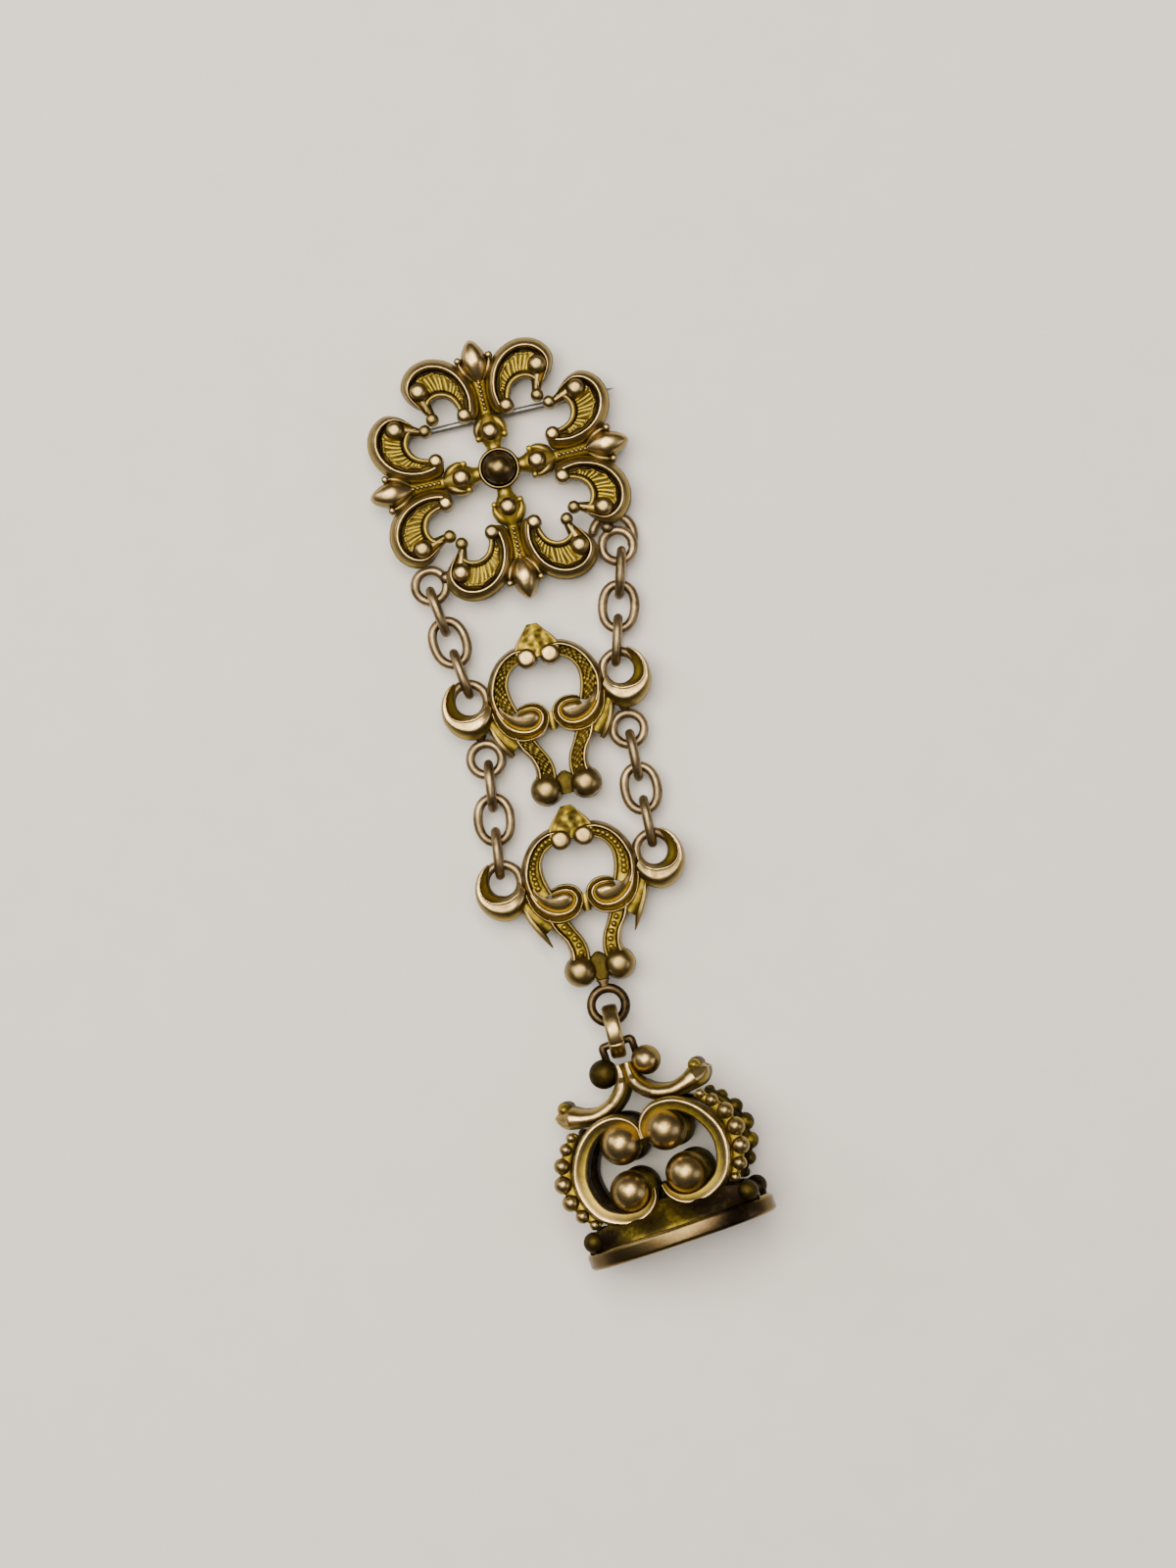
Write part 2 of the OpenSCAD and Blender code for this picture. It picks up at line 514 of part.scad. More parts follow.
module lower_left_link_3() chain_link(ll_top, ll_end, 3);
module lower_right_link_1() chain_link(lr_top, lr_end, 1);
module lower_right_link_2() chain_link(lr_top, lr_end, 2);
module lower_right_link_3() chain_link(lr_top, lr_end, 3);

brooch_casting();
centre_bead();
pin_hinge();
pin_hinge_rivet();
pin_stem();
pin_catch();
brooch_ring_left();
brooch_ring_right();
brooch_rear_ring();
upper_left_link_1();
upper_left_link_2();
upper_left_link_3();
upper_right_link_1();
upper_right_link_2();
upper_right_link_3();
upper_plaque();
upper_ear_ring_left();
upper_ear_ring_right();
upper_drop_ring_left();
upper_drop_ring_right();
lower_left_link_1();
lower_left_link_2();
lower_left_link_3();
lower_right_link_1();
lower_right_link_2();
lower_right_link_3();
lower_plaque();
lower_ear_ring_left();
lower_ear_ring_right();
lower_bottom_ring();
seal_jump_ring();
seal_bail();
seal_crown();
seal_front_scrolls();
seal_rear_scrolls();
seal_base();
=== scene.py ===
"""Seal fob: scroll brooch, link chains, two scroll plaques and a scroll-handled seal.

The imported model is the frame. Each piece below is a surface worked out from its own formula, laid over
the solid that it stands for and riding on that solid's body. Lengths in the formulas are millimetres.
"""

import bpy
import bmesh
import numpy as np
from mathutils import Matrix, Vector


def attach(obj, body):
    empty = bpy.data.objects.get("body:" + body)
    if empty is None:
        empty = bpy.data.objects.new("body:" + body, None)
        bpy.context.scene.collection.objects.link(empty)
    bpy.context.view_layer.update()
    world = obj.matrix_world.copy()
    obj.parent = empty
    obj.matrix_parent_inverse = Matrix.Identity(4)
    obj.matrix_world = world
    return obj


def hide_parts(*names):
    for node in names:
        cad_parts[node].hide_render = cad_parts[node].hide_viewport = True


bl_info = {
    "name": "Seal Fob",
    "version": (1, 0, 0),
    "blender": (4, 5, 0),
    "location": "3D View > Sidebar > Seal Fob",
    "description": "Antique seal fob with a scroll brooch, chains, plaques and a seal",
    "category": "Object",
}

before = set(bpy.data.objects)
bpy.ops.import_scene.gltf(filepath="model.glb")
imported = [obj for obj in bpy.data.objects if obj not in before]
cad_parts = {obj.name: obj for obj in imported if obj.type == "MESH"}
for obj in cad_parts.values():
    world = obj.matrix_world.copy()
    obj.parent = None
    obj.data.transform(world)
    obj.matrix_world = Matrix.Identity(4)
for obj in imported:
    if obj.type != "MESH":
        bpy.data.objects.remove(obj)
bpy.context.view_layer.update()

MM = 0.001
PI = np.pi
X, Y, Z = range(3)


# Colour

def linear(hex_colour):
    """Linear RGBA of an sRGB hex colour."""
    c = np.array([int(hex_colour[k:k + 2], 16) for k in (1, 3, 5)]) / 255
    rgb = np.where(c <= 0.04045, c / 12.92, ((c + 0.055) / 1.055) ** 2.4)
    return (*rgb.tolist(), 1.0)


# Curves and surfaces

def spline(points, steps):
    """Smooth curve through the rows of points: each span is the cubic whose slope at a point is half
    the way from the point before to the point after. All columns are carried together."""
    p = np.asarray(points, float)
    q = np.vstack([p[:1], p, p[-1:]])
    a, b, c, d = (q[k:len(q) - 3 + k, None, :] for k in range(4))
    t = np.linspace(0, 1, steps, endpoint=False)[None, :, None]
    rows = 0.5 * (2 * b + (c - a) * t + (2 * a - 5 * b + 4 * c - d) * t ** 2
                  + (3 * b - a - 3 * c + d) * t ** 3)
    return np.vstack([rows.reshape(-1, p.shape[1]), p[-1:]])


def along(path):
    """Distance travelled along a path, row by row."""
    return np.concatenate([[0], np.cumsum(np.linalg.norm(np.diff(path, axis=0), axis=1))])


def tangents(path, closed=False):
    """Unit directions of a path, from the point before each row to the point after it."""
    if closed:
        d = np.roll(path, -1, axis=0) - np.roll(path, 1, axis=0)
    else:
        d = np.gradient(path, axis=0)
    return d / np.linalg.norm(d, axis=1, keepdims=True)


def step_up(x, low, high):
    """0 below low, 1 above high, and the smooth cubic 3t^2 - 2t^3 between them."""
    t = np.clip((x - low) / (high - low), 0, 1)
    return t * t * (3 - 2 * t)


def half_round(x, centre, r):
    """Height over its chord, as a share of r, of a half circle of radius r."""
    return np.sqrt(np.clip(1 - ((x - centre) / r) ** 2, 0, 1))


def circle(r, a):
    """Points at the angles a on a circle of radius r round the origin, flat in x and y."""
    return r * np.column_stack([np.cos(a), np.sin(a), 0 * a])


def squared_circle(a, power):
    """The superellipse |x|^power + |y|^power = 1 at the angles a."""
    c, s = np.cos(a), np.sin(a)
    return np.sign(c) * np.abs(c) ** (2 / power), np.sign(s) * np.abs(s) ** (2 / power)


def skin(grid, wear_and_shade, closed_u=False):
    """Closed surface over a grid of points, rows along u and rings round v. Each ring closes on itself,
    and an open row of rings is closed by a fan to the middle of its first and last ring."""
    nu, nv = grid.shape[:2]
    wear_and_shade = np.broadcast_to(wear_and_shade, (nu, nv))
    idx = np.arange(nu * nv).reshape(nu, nv)
    rows = np.vstack([idx, idx[:1]]) if closed_u else idx
    right = np.roll(rows, -1, axis=1)
    quads = np.stack([rows[:-1], rows[1:], right[1:], right[:-1]], axis=-1).reshape(-1, 4)
    points, shade = grid.reshape(-1, 3), wear_and_shade.reshape(-1)
    faces = [quads]
    if not closed_u:
        ends = np.stack([grid[0].mean(0), grid[-1].mean(0)])
        points = np.vstack([points, ends])
        shade = np.concatenate([shade, [wear_and_shade[0].mean(), wear_and_shade[-1].mean()]])
        for ring, centre in ((idx[0], nu * nv), (idx[-1][::-1], nu * nv + 1)):
            faces.append(np.stack([ring, np.roll(ring, -1), np.full(nv, centre)], axis=-1))
    return points, faces, shade


def on_back(xy, z, wear_and_shade, foot=None):
    """Relief over the back plate at z = 0: a grid of places, heights and wear_and_shade values, closed by
    walls down to its foot, which is the edge of the grid unless two other lines are given. The walls are
    painted dark, partly tarnish and partly painted shade on their sideways faces."""
    foot = xy[:, [-1, 0]] if foot is None else foot
    grid = np.concatenate([np.dstack([xy, z]), np.dstack([foot, np.zeros((len(xy), 2))])], axis=1)
    return skin(grid, np.concatenate([np.broadcast_to(wear_and_shade, z.shape), np.full((len(xy), 2), 0.12)], axis=1))


def turned(profile, centre, axis=(0, 0, 1), around=32, wear_and_shade=0.8):
    """Solid of revolution: rows of (radius, height) carried round an axis through a centre point."""
    prof = np.asarray(profile, float)
    ax = np.asarray(axis, float) / np.linalg.norm(axis)
    side = np.cross(ax, [0.0, 1.0, 0.0] if abs(ax[1]) < 0.9 else [1.0, 0.0, 0.0])
    side /= np.linalg.norm(side)
    other = np.cross(ax, side)
    a = np.linspace(0, 2 * PI, around, endpoint=False)
    ring = np.cos(a)[:, None] * side + np.sin(a)[:, None] * other
    grid = np.asarray(centre, float) + prof[:, :1, None] * ring + prof[:, 1:2, None] * ax
    shade = np.asarray(wear_and_shade, float)
    return skin(grid, shade[:, None] if shade.ndim else shade)


def ball(centre, r, rows=18, around=28, wear_and_shade=0.8, poles=(0, 0, 1)):
    """Round bead: radius r sin(t) at height -r cos(t), its poles a hair open so that the fans close them."""
    t = np.linspace(0.04, PI - 0.04, rows)
    return turned(np.column_stack([r * np.sin(t), -r * np.cos(t)]), centre, poles, around, wear_and_shade)


def knob(x, y, r, top, flat=0.6, wall=0.75, around=32, foot=0.0):
    """Bead cast on the back plate: an upright wall that turns in over a quarter of a squared circle.
    Radius is r cos(t)^flat and height climbs with sin(t), so a small flat gives a level top."""
    t = np.linspace(0, PI / 2 * 0.985, 14)
    shoulder = max(top - wall * r, foot + 0.02)
    prof = np.column_stack([r * np.cos(t) ** flat, shoulder + (top - shoulder) * np.sin(t) ** 1.1])
    prof = np.vstack([[r * 1.05, foot], [r, foot + 0.3 * (shoulder - foot)], prof])
    # dark at the foot and low on the upright wall, partly tarnish in the joint and partly painted shade on
    # the sideways wall, and rubbed lighter towards the top
    shade = np.concatenate([[0.12, 0.3], 0.5 + 0.32 * np.sin(t) ** 0.7])
    return turned(prof, (x, y, 0), around=around, wear_and_shade=shade)


def leaf(stations, swell=2.3, crease=0.0, edge=0.35, bright=0.92):
    """Round-backed leaf along stations of x, y, half width and height. Across it the height falls as
    (1 - |v|^swell)^0.55, and a crease lowers a thin line along the middle."""
    s = spline(stations, 10)
    c, w, h = s[:, None, :2], np.maximum(s[:, 2], 0.03), np.maximum(s[:, 3], 0.1)
    d = tangents(s[:, :2])
    n = np.column_stack([-d[:, 1], d[:, 0]])
    v = np.sin(np.linspace(-PI / 2, PI / 2, 15))
    rise = edge + (1 - edge) * (1 - np.abs(v) ** swell) ** 0.55 - crease * np.exp(-(v / 0.16) ** 2)
    wear_and_shade = 0.42 + (bright - 0.42) * step_up(rise, edge, 1.0) - 0.5 * crease * np.exp(-(v / 0.2) ** 2)
    return on_back(c + w[:, None, None] * v[None, :, None] * n[:, None, :], h[:, None] * rise, wear_and_shade)


# How the floor of a scroll panel is worked: height and shade over the distance along the panel (s), the
# distance in from the ridge (a) and the share of the way across the floor (m)

def acanthus_floor(s, a, m):
    """Ribbed leaf with a wavy edge: ribs every 0.55 mm square to the ridge, lobes every 1.3 mm."""
    edge = 0.3 + 0.2 * np.abs(np.sin(PI * s / 1.3)) ** 0.7
    on = step_up(a, edge, edge + 0.1) * step_up(1 - m, 0.02, 0.12)
    sway = 0.35 * a + 0.12 * np.sin(1.9 * s) + 0.07 * np.sin(4.3 * s)
    rib = (0.5 + 0.5 * np.cos(2 * PI * (s + sway) / 0.55)) ** 1.4
    lip = np.exp(-((a - edge - 0.1) / 0.07) ** 2)
    return on * (0.1 + 0.2 * rib * (1 - 0.6 * m)) + 0.14 * lip, 0.08 + on * (0.08 + 0.42 * rib) + 0.4 * lip


def stippled_floor(s, a, m):
    """Grained floor: two crossed waves of about 0.6 mm give rows of small uneven knobs."""
    grain = (np.sin(2 * PI * s / 0.62 + 1.7 * np.sin(3.1 * a))
             * np.sin(2 * PI * a / 0.55 + 1.3 * np.sin(2.3 * s)))
    knobs = step_up(grain, -0.2, 0.7)
    return 0.2 * knobs, 0.06 + 0.56 * knobs


def plain_floor(s, a, m):
    """Plain sunk floor, a little higher along its middle."""
    return 0.08 * np.sin(PI * m), 0.2 + 0.12 * np.sin(PI * m)


def scroll_panel(outer, inner, relief, floor, steps=10, ridge_r=0.14, shoulder_w=0.75, rim_r=0.15):
    """Sunk panel between an outer and an inner curve. Going in from the outer curve, the wall climbs as
    a quarter sine to a thin half-round ridge, drops to the worked floor, meets a smaller rim beside the
    inner curve and falls to the back. Narrow places carry the same section drawn together."""
    o, i = spline(outer, steps), spline(inner, steps)
    w = np.linalg.norm(i - o, axis=1)[:, None]
    squeeze = np.minimum(1, w / 2.2)
    s = along((o + i) / 2)[:, None]
    ridge_at, rim_at = shoulder_w + ridge_r, 0.08 + rim_r
    climb = np.linspace(0, 1, 9)
    ridge = ridge_at + ridge_r * np.sin(np.linspace(-PI / 2, PI / 2, 11)[1:])
    rim = rim_at + rim_r * np.sin(np.linspace(PI / 2, -PI / 2, 9))
    on_ridge, on_rim = half_round(ridge, ridge_at, ridge_r), half_round(rim, rim_at, rim_r)
    m = np.linspace(0, 1, 28)[None, :]
    floor_from, floor_to = (ridge_at + ridge_r + 0.03) * squeeze, w - (2 * rim_r + 0.12) * squeeze
    across = floor_from + m * (floor_to - floor_from)
    lift, tone = floor(s, across - floor_from, m)
    dist = np.concatenate([shoulder_w * climb * squeeze, ridge * squeeze, across, w - rim * squeeze], axis=1)
    ones = np.ones_like(s)
    z = np.concatenate([
        ones * relief * (0.28 + 0.57 * np.sin(PI / 2 * climb) ** 0.8),
        ones * (0.85 * relief + ridge_r * on_ridge),
        0.4 * relief - 0.1 * np.exp(-(m / 0.08) ** 2) + lift * squeeze,
        ones * (0.52 * relief + rim_r * on_rim),
    ], axis=1)
    # the outer wall is painted dark towards its foot as shade; the ridge and rim are rubbed lighter and the
    # floor is darker along its two edges
    shade = np.concatenate([
        ones * (0.1 + 0.62 * step_up(climb, -0.1, 0.6)),
        ones * (0.62 + 0.3 * on_ridge),
        ones * np.clip(tone - 0.22 * np.exp(-(m / 0.07) ** 2) - 0.15 * np.exp(-((1 - m) / 0.06) ** 2), 0, 1),
        ones * (0.3 + 0.3 * on_rim),
    ], axis=1)
    xy = o[:, None, :] + ((i - o) / w)[:, None, :] * dist[:, :, None]
    return on_back(xy, z, shade, np.stack([i, o], axis=1))


def swept(path, normal, half_a, half_b, square=2.0, around=24, closed=False, wear_and_shade=0.6):
    """Bar carried along a flat path. Its section is a superellipse, half_a in the path's plane and half_b
    along the plane's normal."""
    path = np.asarray(path, float)
    n = np.asarray(normal, float) / np.linalg.norm(normal)
    side = np.cross(n, tangents(path, closed))
    side /= np.linalg.norm(side, axis=1, keepdims=True)
    e1, e2 = squared_circle(np.linspace(0, 2 * PI, around, endpoint=False), square)
    half_a = np.broadcast_to(half_a, len(path))[:, None, None]
    half_b = np.broadcast_to(half_b, len(path))[:, None, None]
    grid = (path[:, None, :] + half_a * e1[None, :, None] * side[:, None, :]
            + half_b * e2[None, :, None] * n)
    return skin(grid, wear_and_shade, closed_u=closed)


# Putting surfaces together

def mirrored(parts, axis=0):
    """The same surfaces seen in a mirror across one axis."""
    out = []
    for points, faces, shade in parts:
        flipped = points.copy()
        flipped[:, axis] *= -1
        out.append((flipped, [f[:, ::-1] for f in faces], shade))
    return out


def moved(parts, turn=None, offset=(0, 0, 0)):
    """Surfaces turned by a 3 x 3 matrix and then shifted."""
    turn = np.eye(3) if turn is None else turn
    return [(points @ turn.T + np.asarray(offset, float), faces, shade) for points, faces, shade in parts]


def toned(parts, share):
    """The same surfaces with their wear_and_shade values lowered to a share, which darkens them: for places
    that are more tarnished, and for places painted as lying in shade, such as the rear scroll frame.
    """
    return [(points, faces, shade * share) for points, faces, shade in parts]


def turn_about(axis, degrees):
    """Matrix of a turn about the axis X, Y or Z."""
    c, s = np.cos(np.radians(degrees)), np.sin(np.radians(degrees))
    a, b = (axis + 1) % 3, (axis + 2) % 3
    turn = np.eye(3)
    turn[[a, a, b, b], [a, b, a, b]] = c, -s, s, c
    return turn


def make_piece(name, parts, finish, body, node):
    """One mesh object from all the surfaces of a piece, in metres, with a point attribute, wear_and_shade,
    that says how worn each place is and where shade is painted on it.
    It rides on its body and stands for the named solid."""
    points, faces, shade, start = [], [], [], 0
    for p, fs, w in parts:
        points.append(p * MM)
        shade.append(w)
        faces.extend(f + start for f in fs)
        start += len(p)
    mesh = bpy.data.meshes.new(name)
    mesh.from_pydata(np.vstack(points).tolist(), [], [row for f in faces for row in f.tolist()])
    attr = mesh.attributes.new("wear_and_shade", "FLOAT", "POINT")
    attr.data.foreach_set("value", np.clip(np.concatenate(shade), 0, 1).astype(np.float32))
    bm = bmesh.new()
    bm.from_mesh(mesh)
    bmesh.ops.recalc_face_normals(bm, faces=bm.faces)
    bm.to_mesh(mesh)
    bm.free()
    mesh.shade_smooth()
    mesh.materials.append(finish_for(finish))
    piece = bpy.data.objects.new(name, mesh)
    bpy.context.scene.collection.objects.link(piece)
    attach(piece, body)
    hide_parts(node)


# Where the pieces sit

UPWARDS = np.array([0, 0, 1.0])
# middle lines of the wire: a link's length and half width, and the small, ear and bottom rings
WIRE_R = 0.5
LINK_RUN, LINK_END_R = 4.55, 1.65
RING_R, EAR_R, BOTTOM_R = 1.6, 1.85, 1.75
# heights above the floor of the links and rings, the backs of the castings and the bottom ring
LAY_Z, BACK_Z, BOTTOM_Z = 2.15, 2.65, 3.15
# middles of the castings, and the rings' places from the middle of a plaque
BROOCH = np.array([0.0, 34.1])
BROOCH_TURN = 1.2
UPPER = np.array([-0.15, 11.23])
LOWER = np.array([-0.68, -7.56])
EAR_DX, EAR_DY, DROP_DX, DROP_DY, BOTTOM_DY = 7.9, 0.35, 7.45, -5.75, -14.1
RING_LEFT, RING_RIGHT = np.array([-9.38, 24.0]), np.array([10.15, 24.0])
WEB_END = 11.4
# the seal's angles, its bail, the half axes and lying edge of its base, and its jump ring's flat strip
SEAL_TURN, SEAL_ROLL, SEAL_SLOPE = 7, 10, 5
BAIL_Y, BAIL_HALF, BAIL_BEND = 21.1, 1.6, 0.25
BASE_A, BASE_B, BASE_EDGE = 10, 6.2, 1.5
JUMP_R, JUMP_W, JUMP_T, JUMP_PLAY = 2.8, 1.6, 0.85, 0.03


def seal_place():
    """Turn and place of the seal and its jump ring, from the rim of the base that the seal lies on."""
    hole = BOTTOM_R - WIRE_R
    rise = hole - np.sqrt(hole ** 2 - (JUMP_W / 2) ** 2)
    drop = JUMP_R - JUMP_T - WIRE_R - rise - JUMP_PLAY
    span = drop + JUMP_R - JUMP_T - WIRE_R - 2 * JUMP_PLAY
    roll, slope = np.radians(SEAL_ROLL), np.radians(SEAL_SLOPE)
    low = np.hypot(BASE_A * np.sin(roll), BASE_B * np.cos(roll))
    bail_z = low * np.cos(slope) - (BAIL_Y - BASE_EDGE) * np.sin(slope)
    tilt = np.arcsin((bail_z - BOTTOM_Z) / span)
    hung = np.array([LOWER[0], LOWER[1] + BOTTOM_DY - BOTTOM_R, BOTTOM_Z])
    away = np.array([0, -np.cos(tilt), np.sin(tilt)])
    turn = turn_about(Z, SEAL_TURN) @ turn_about(X, -SEAL_SLOPE) @ turn_about(Y, -SEAL_ROLL)
    bail = hung + span * away
    return turn, bail - turn @ [0, BAIL_Y, 0], hung + drop * away, np.degrees(tilt)


SEAL_FRAME, SEAL_ORIGIN, JUMP_CENTRE, JUMP_TILT = seal_place()


def make_seal_piece(name, parts, finish, node):
    """A piece of the seal, drawn upright on its base and laid down on the rim."""
    make_piece(name, moved(parts, SEAL_FRAME, SEAL_ORIGIN), finish, "seal", node)


# Node materials

def add(tree, kind, links=(), **settings):
    """Adds a node with its settings; links pairs an input name or number with an output socket."""
    node = tree.nodes.new(kind)
    for key, value in settings.items():
        if key.startswith("in_"):
            slot = key[3:]
            node.inputs[int(slot) if slot.isdigit() else slot.replace("_", " ")].default_value = value
        else:
            setattr(node, key, value)
    for slot, source in dict(links).items():
        tree.links.new(source, node.inputs[slot])
    return node


def ramp(tree, factor, stops):
    """Colour ramp through (place, colour) stops."""
    node = add(tree, "ShaderNodeValToRGB", {"Fac": factor})
    bar = node.color_ramp
    bar.elements[0].position, bar.elements[0].color = stops[0]
    bar.elements[1].position, bar.elements[1].color = stops[-1]
    for place, colour in stops[1:-1]:
        bar.elements.new(place).color = colour
    return node.outputs["Color"]


def new_material(name, metallic=1.0):
    """Material with its node tree, its shader and the Object coordinates that its patterns use."""
    mat = bpy.data.materials.new(name)
    mat.use_nodes = True
    tree = mat.node_tree
    shader = tree.nodes["Principled BSDF"]
    shader.inputs["Metallic"].default_value = metallic
    where = add(tree, "ShaderNodeTexCoord").outputs["Object"]
    return mat, tree, shader, where


def noise(tree, where, size_mm, detail=3.0, rough=0.55):
    """Cloudy pattern whose lumps are about size_mm across."""
    return add(tree, "ShaderNodeTexNoise", {"Vector": where}, in_Scale=1000 / size_mm / 1.6,
               in_Detail=detail, in_Roughness=rough).outputs["Fac"]


def maths(tree, operation, *terms, clamp=False):
    """Result of a math node on its terms, which are numbers or output sockets."""
    node = add(tree, "ShaderNodeMath", operation=operation, use_clamp=clamp)
    for k, value in enumerate(terms):
        if isinstance(value, (int, float)):
            node.inputs[k].default_value = value
        else:
            tree.links.new(value, node.inputs[k])
    return node.outputs[0]


def coat(tree, shader, level, stops, rough, grain, strength, depth):
    """Colour, roughness and fine bump of a metal. The colour ramp and the two (level, roughness) pairs
    read one level between 0 and 1."""
    (low, dull), (high, shine) = rough
    polish = add(tree, "ShaderNodeMapRange", {"Value": level}, in_From_Min=low, in_From_Max=high,
                 in_To_Min=dull, in_To_Max=shine)
    bump = add(tree, "ShaderNodeBump", {"Height": grain}, in_Strength=strength, in_Distance=depth)
    tree.links.new(ramp(tree, level, stops), shader.inputs["Base Color"])
    tree.links.new(polish.outputs["Result"], shader.inputs["Roughness"])
    tree.links.new(bump.outputs["Normal"], shader.inputs["Normal"])


def worn_gilt(name, stops, shift=0.0, shine=0.26, dull=0.6):
    """Fire-gilt cast brass after long use: rubbed rose metal on the smooth crests, yellow gilding left in the
    hollows and brown tarnish in the deepest lines.
    Its level is read from the wear_and_shade attribute, so the painted shade on sideways walls and shaded
    parts comes out dark in the same colours."""
    mat, tree, shader, where = new_material(name)
    wear_and_shade = add(tree, "ShaderNodeAttribute", attribute_name="wear_and_shade").outputs["Fac"]
    cloud = maths(tree, "MULTIPLY_ADD", noise(tree, where, 2.4), 0.42, -0.21 + shift)
    grain = maths(tree, "MULTIPLY_ADD", noise(tree, where, 0.35, 4), 0.3, -0.15)
    level = maths(tree, "ADD", maths(tree, "ADD", wear_and_shade, cloud), grain, clamp=True)
    skin_grain = noise(tree, where, 0.22, 4, 0.6)
    coat(tree, shader, level, stops, ((0.0, dull), (1.0, shine)), skin_grain, 0.22, 0.00006)
    return mat


def drawn_bronze(name, light, dark, shine=0.34):
    """Drawn wire of gilt bronze with a brown skin: cloudy tone along the wire and fine rubbed scratches."""
    mat, tree, shader, where = new_material(name)
    grain = noise(tree, where, 0.25, 3)
    cloud = maths(tree, "MULTIPLY", noise(tree, where, 1.6, 4), 0.75)
    level = maths(tree, "ADD", cloud, maths(tree, "MULTIPLY", grain, 0.3), clamp=True)
    coat(tree, shader, level, [(0.36, dark), (0.62, light)], ((0.3, 0.5), (0.7, shine)), grain, 0.2, 0.00005)
    return mat


def floor_paper(name, colour):
    """Matt pale card under the fob: a single soft tone with the faintest fibre."""
    mat, tree, shader, where = new_material(name, metallic=0.0)
    pale = tuple(c * 0.97 for c in colour[:3]) + (1.0,)
    tone = ramp(tree, noise(tree, where, 3.0), [(0.3, pale), (0.7, colour)])
    tree.links.new(tone, shader.inputs["Base Color"])
    shader.inputs["Roughness"].default_value = 0.9
    return mat


_made = {}


def finish_for(key):
    """Each finish is made once, from the colours in the panel."""
    if key not in _made:
        c = bpy.context.scene.fob_colours
        rgba = {k: (*getattr(c, k), 1.0) for k in FobColours.__annotations__}
        gilt = [(0.0, rgba["tarnish"]), (0.2, rgba["olive"]), (0.42, rgba["yellow"]), (0.62, rgba["brown"]),
                (0.82, rgba["rose"]), (1.0, rgba["crest"])]
        dark = [(0.0, rgba["tarnish"]), (0.4, rgba["wire_dark"]), (0.7, rgba["brown"]), (1.0, rgba["rose"])]
        make = {
            "gilt": lambda: worn_gilt("worn_fire_gilt_brass", gilt),
            "tarnished": lambda: worn_gilt("tarnished_gilt_brass", dark, shift=-0.05, shine=0.24, dull=0.38),
            "wire": lambda: drawn_bronze("drawn_bronze_wire", rgba["wire_light"], rgba["wire_dark"]),
            # dark wire: tarnish on the bottom ring, and painted shade on the bail
            "dark_wire": lambda: drawn_bronze("tarnished_and_shaded_bronze_wire", rgba["wire_dark"], rgba["tarnish"]),
            "steel": lambda: drawn_bronze("grey_pin_steel", rgba["steel"], rgba["steel_dark"], 0.4),
            "floor": lambda: floor_paper("pale_matt_card", rgba["floor"]),
        }
        _made[key] = make[key]()
    return _made[key]


# Settings

def colour_prop(name, description, hex_colour):
    """Colour in the panel, its default given as an sRGB hex colour."""
    return bpy.props.FloatVectorProperty(name=name, description=description, subtype="COLOR", size=3,
                                         min=0, max=1, default=linear(hex_colour)[:3])


def length_prop(name, description, mm):
    """Length in the panel, its default given in millimetres."""
    return bpy.props.FloatProperty(name=name, description=description, unit="LENGTH", min=0, default=mm * MM)


class FobSizes(bpy.types.PropertyGroup):
    """Sizes of the relief, in metres."""
    brooch_relief: length_prop("Brooch relief", "Height of the brooch's crests above its back", 2.1)
    plaque_relief: length_prop("Plaque relief", "Height of a plaque's crests above its back", 2.0)
    ridge: length_prop("Ridge", "Half width of the thin bright ridge round each scroll", 0.14)
    bead: length_prop("Centre bead", "Radius of the brooch's centre bead", 1.7)
    grain: length_prop("Floor bead", "Radius of the small beads in the lower plaque's channels", 0.33)
    seal_ball: length_prop("Seal ball", "Radius of the big balls in the seal's scrolls", 2.15)


class FobColours(bpy.types.PropertyGroup):
    """Colours of the finishes."""
    # tarnish is the dark end of the colour ramp, which also colours the painted shade on sideways walls and
    # shaded parts
    tarnish: colour_prop("Tarnish", "Brown-black tarnish in the deepest lines", "#1C150D")
    olive: colour_prop("Olive gilt", "Darkened gilding in the hollows", "#463B15")
    yellow: colour_prop("Yellow gilt", "Bright gilding that is left in the hollows", "#A28B2A")
    brown: colour_prop("Brown gilt", "Half-worn gilding on the slopes", "#6C5C34")
    rose: colour_prop("Rose metal", "Rubbed metal on the high places", "#8A764C")
    crest: colour_prop("Crest", "Polished metal on the crests", "#C8AA70")
    wire_light: colour_prop("Wire, light", "Rubbed places on the links and rings", "#927E5C")
    wire_dark: colour_prop("Wire, dark", "Brown skin on the links and rings", "#52432C")
    steel: colour_prop("Steel, light", "Grey steel of the pin", "#8C8984")
    steel_dark: colour_prop("Steel, dark", "Duller patches of the pin", "#65635F")
    floor: colour_prop("Floor", "Pale card under the fob", "#D8D4CA")


# Brooch

# x and y of the two curves of a panel on the arm that points up
ARM_OUTER = [[1.75, 5.4], [0.85, 5.75], [0.5, 6.9], [0.5, 8.3], [0.95, 9.8], [1.85, 11.2], [3.2, 12.2],
             [4.8, 12.6], [6.4, 12.25], [7.5, 11.3], [7.95, 10.1], [7.6, 8.9], [6.8, 7.95]]
ARM_INNER = [[2.8, 5.9], [2.75, 6.5], [2.8, 7], [3, 7.5], [3.25, 7.9], [3.6, 8.2], [4.1, 8.4],
             [4.6, 8.42], [5, 8.3], [5.3, 8.1], [5.5, 7.85], [5.6, 7.55], [5.7, 7.2]]
# height of the hub over the brooch's back, on which the bead's collar stands
COLLAR_Z = 1.3


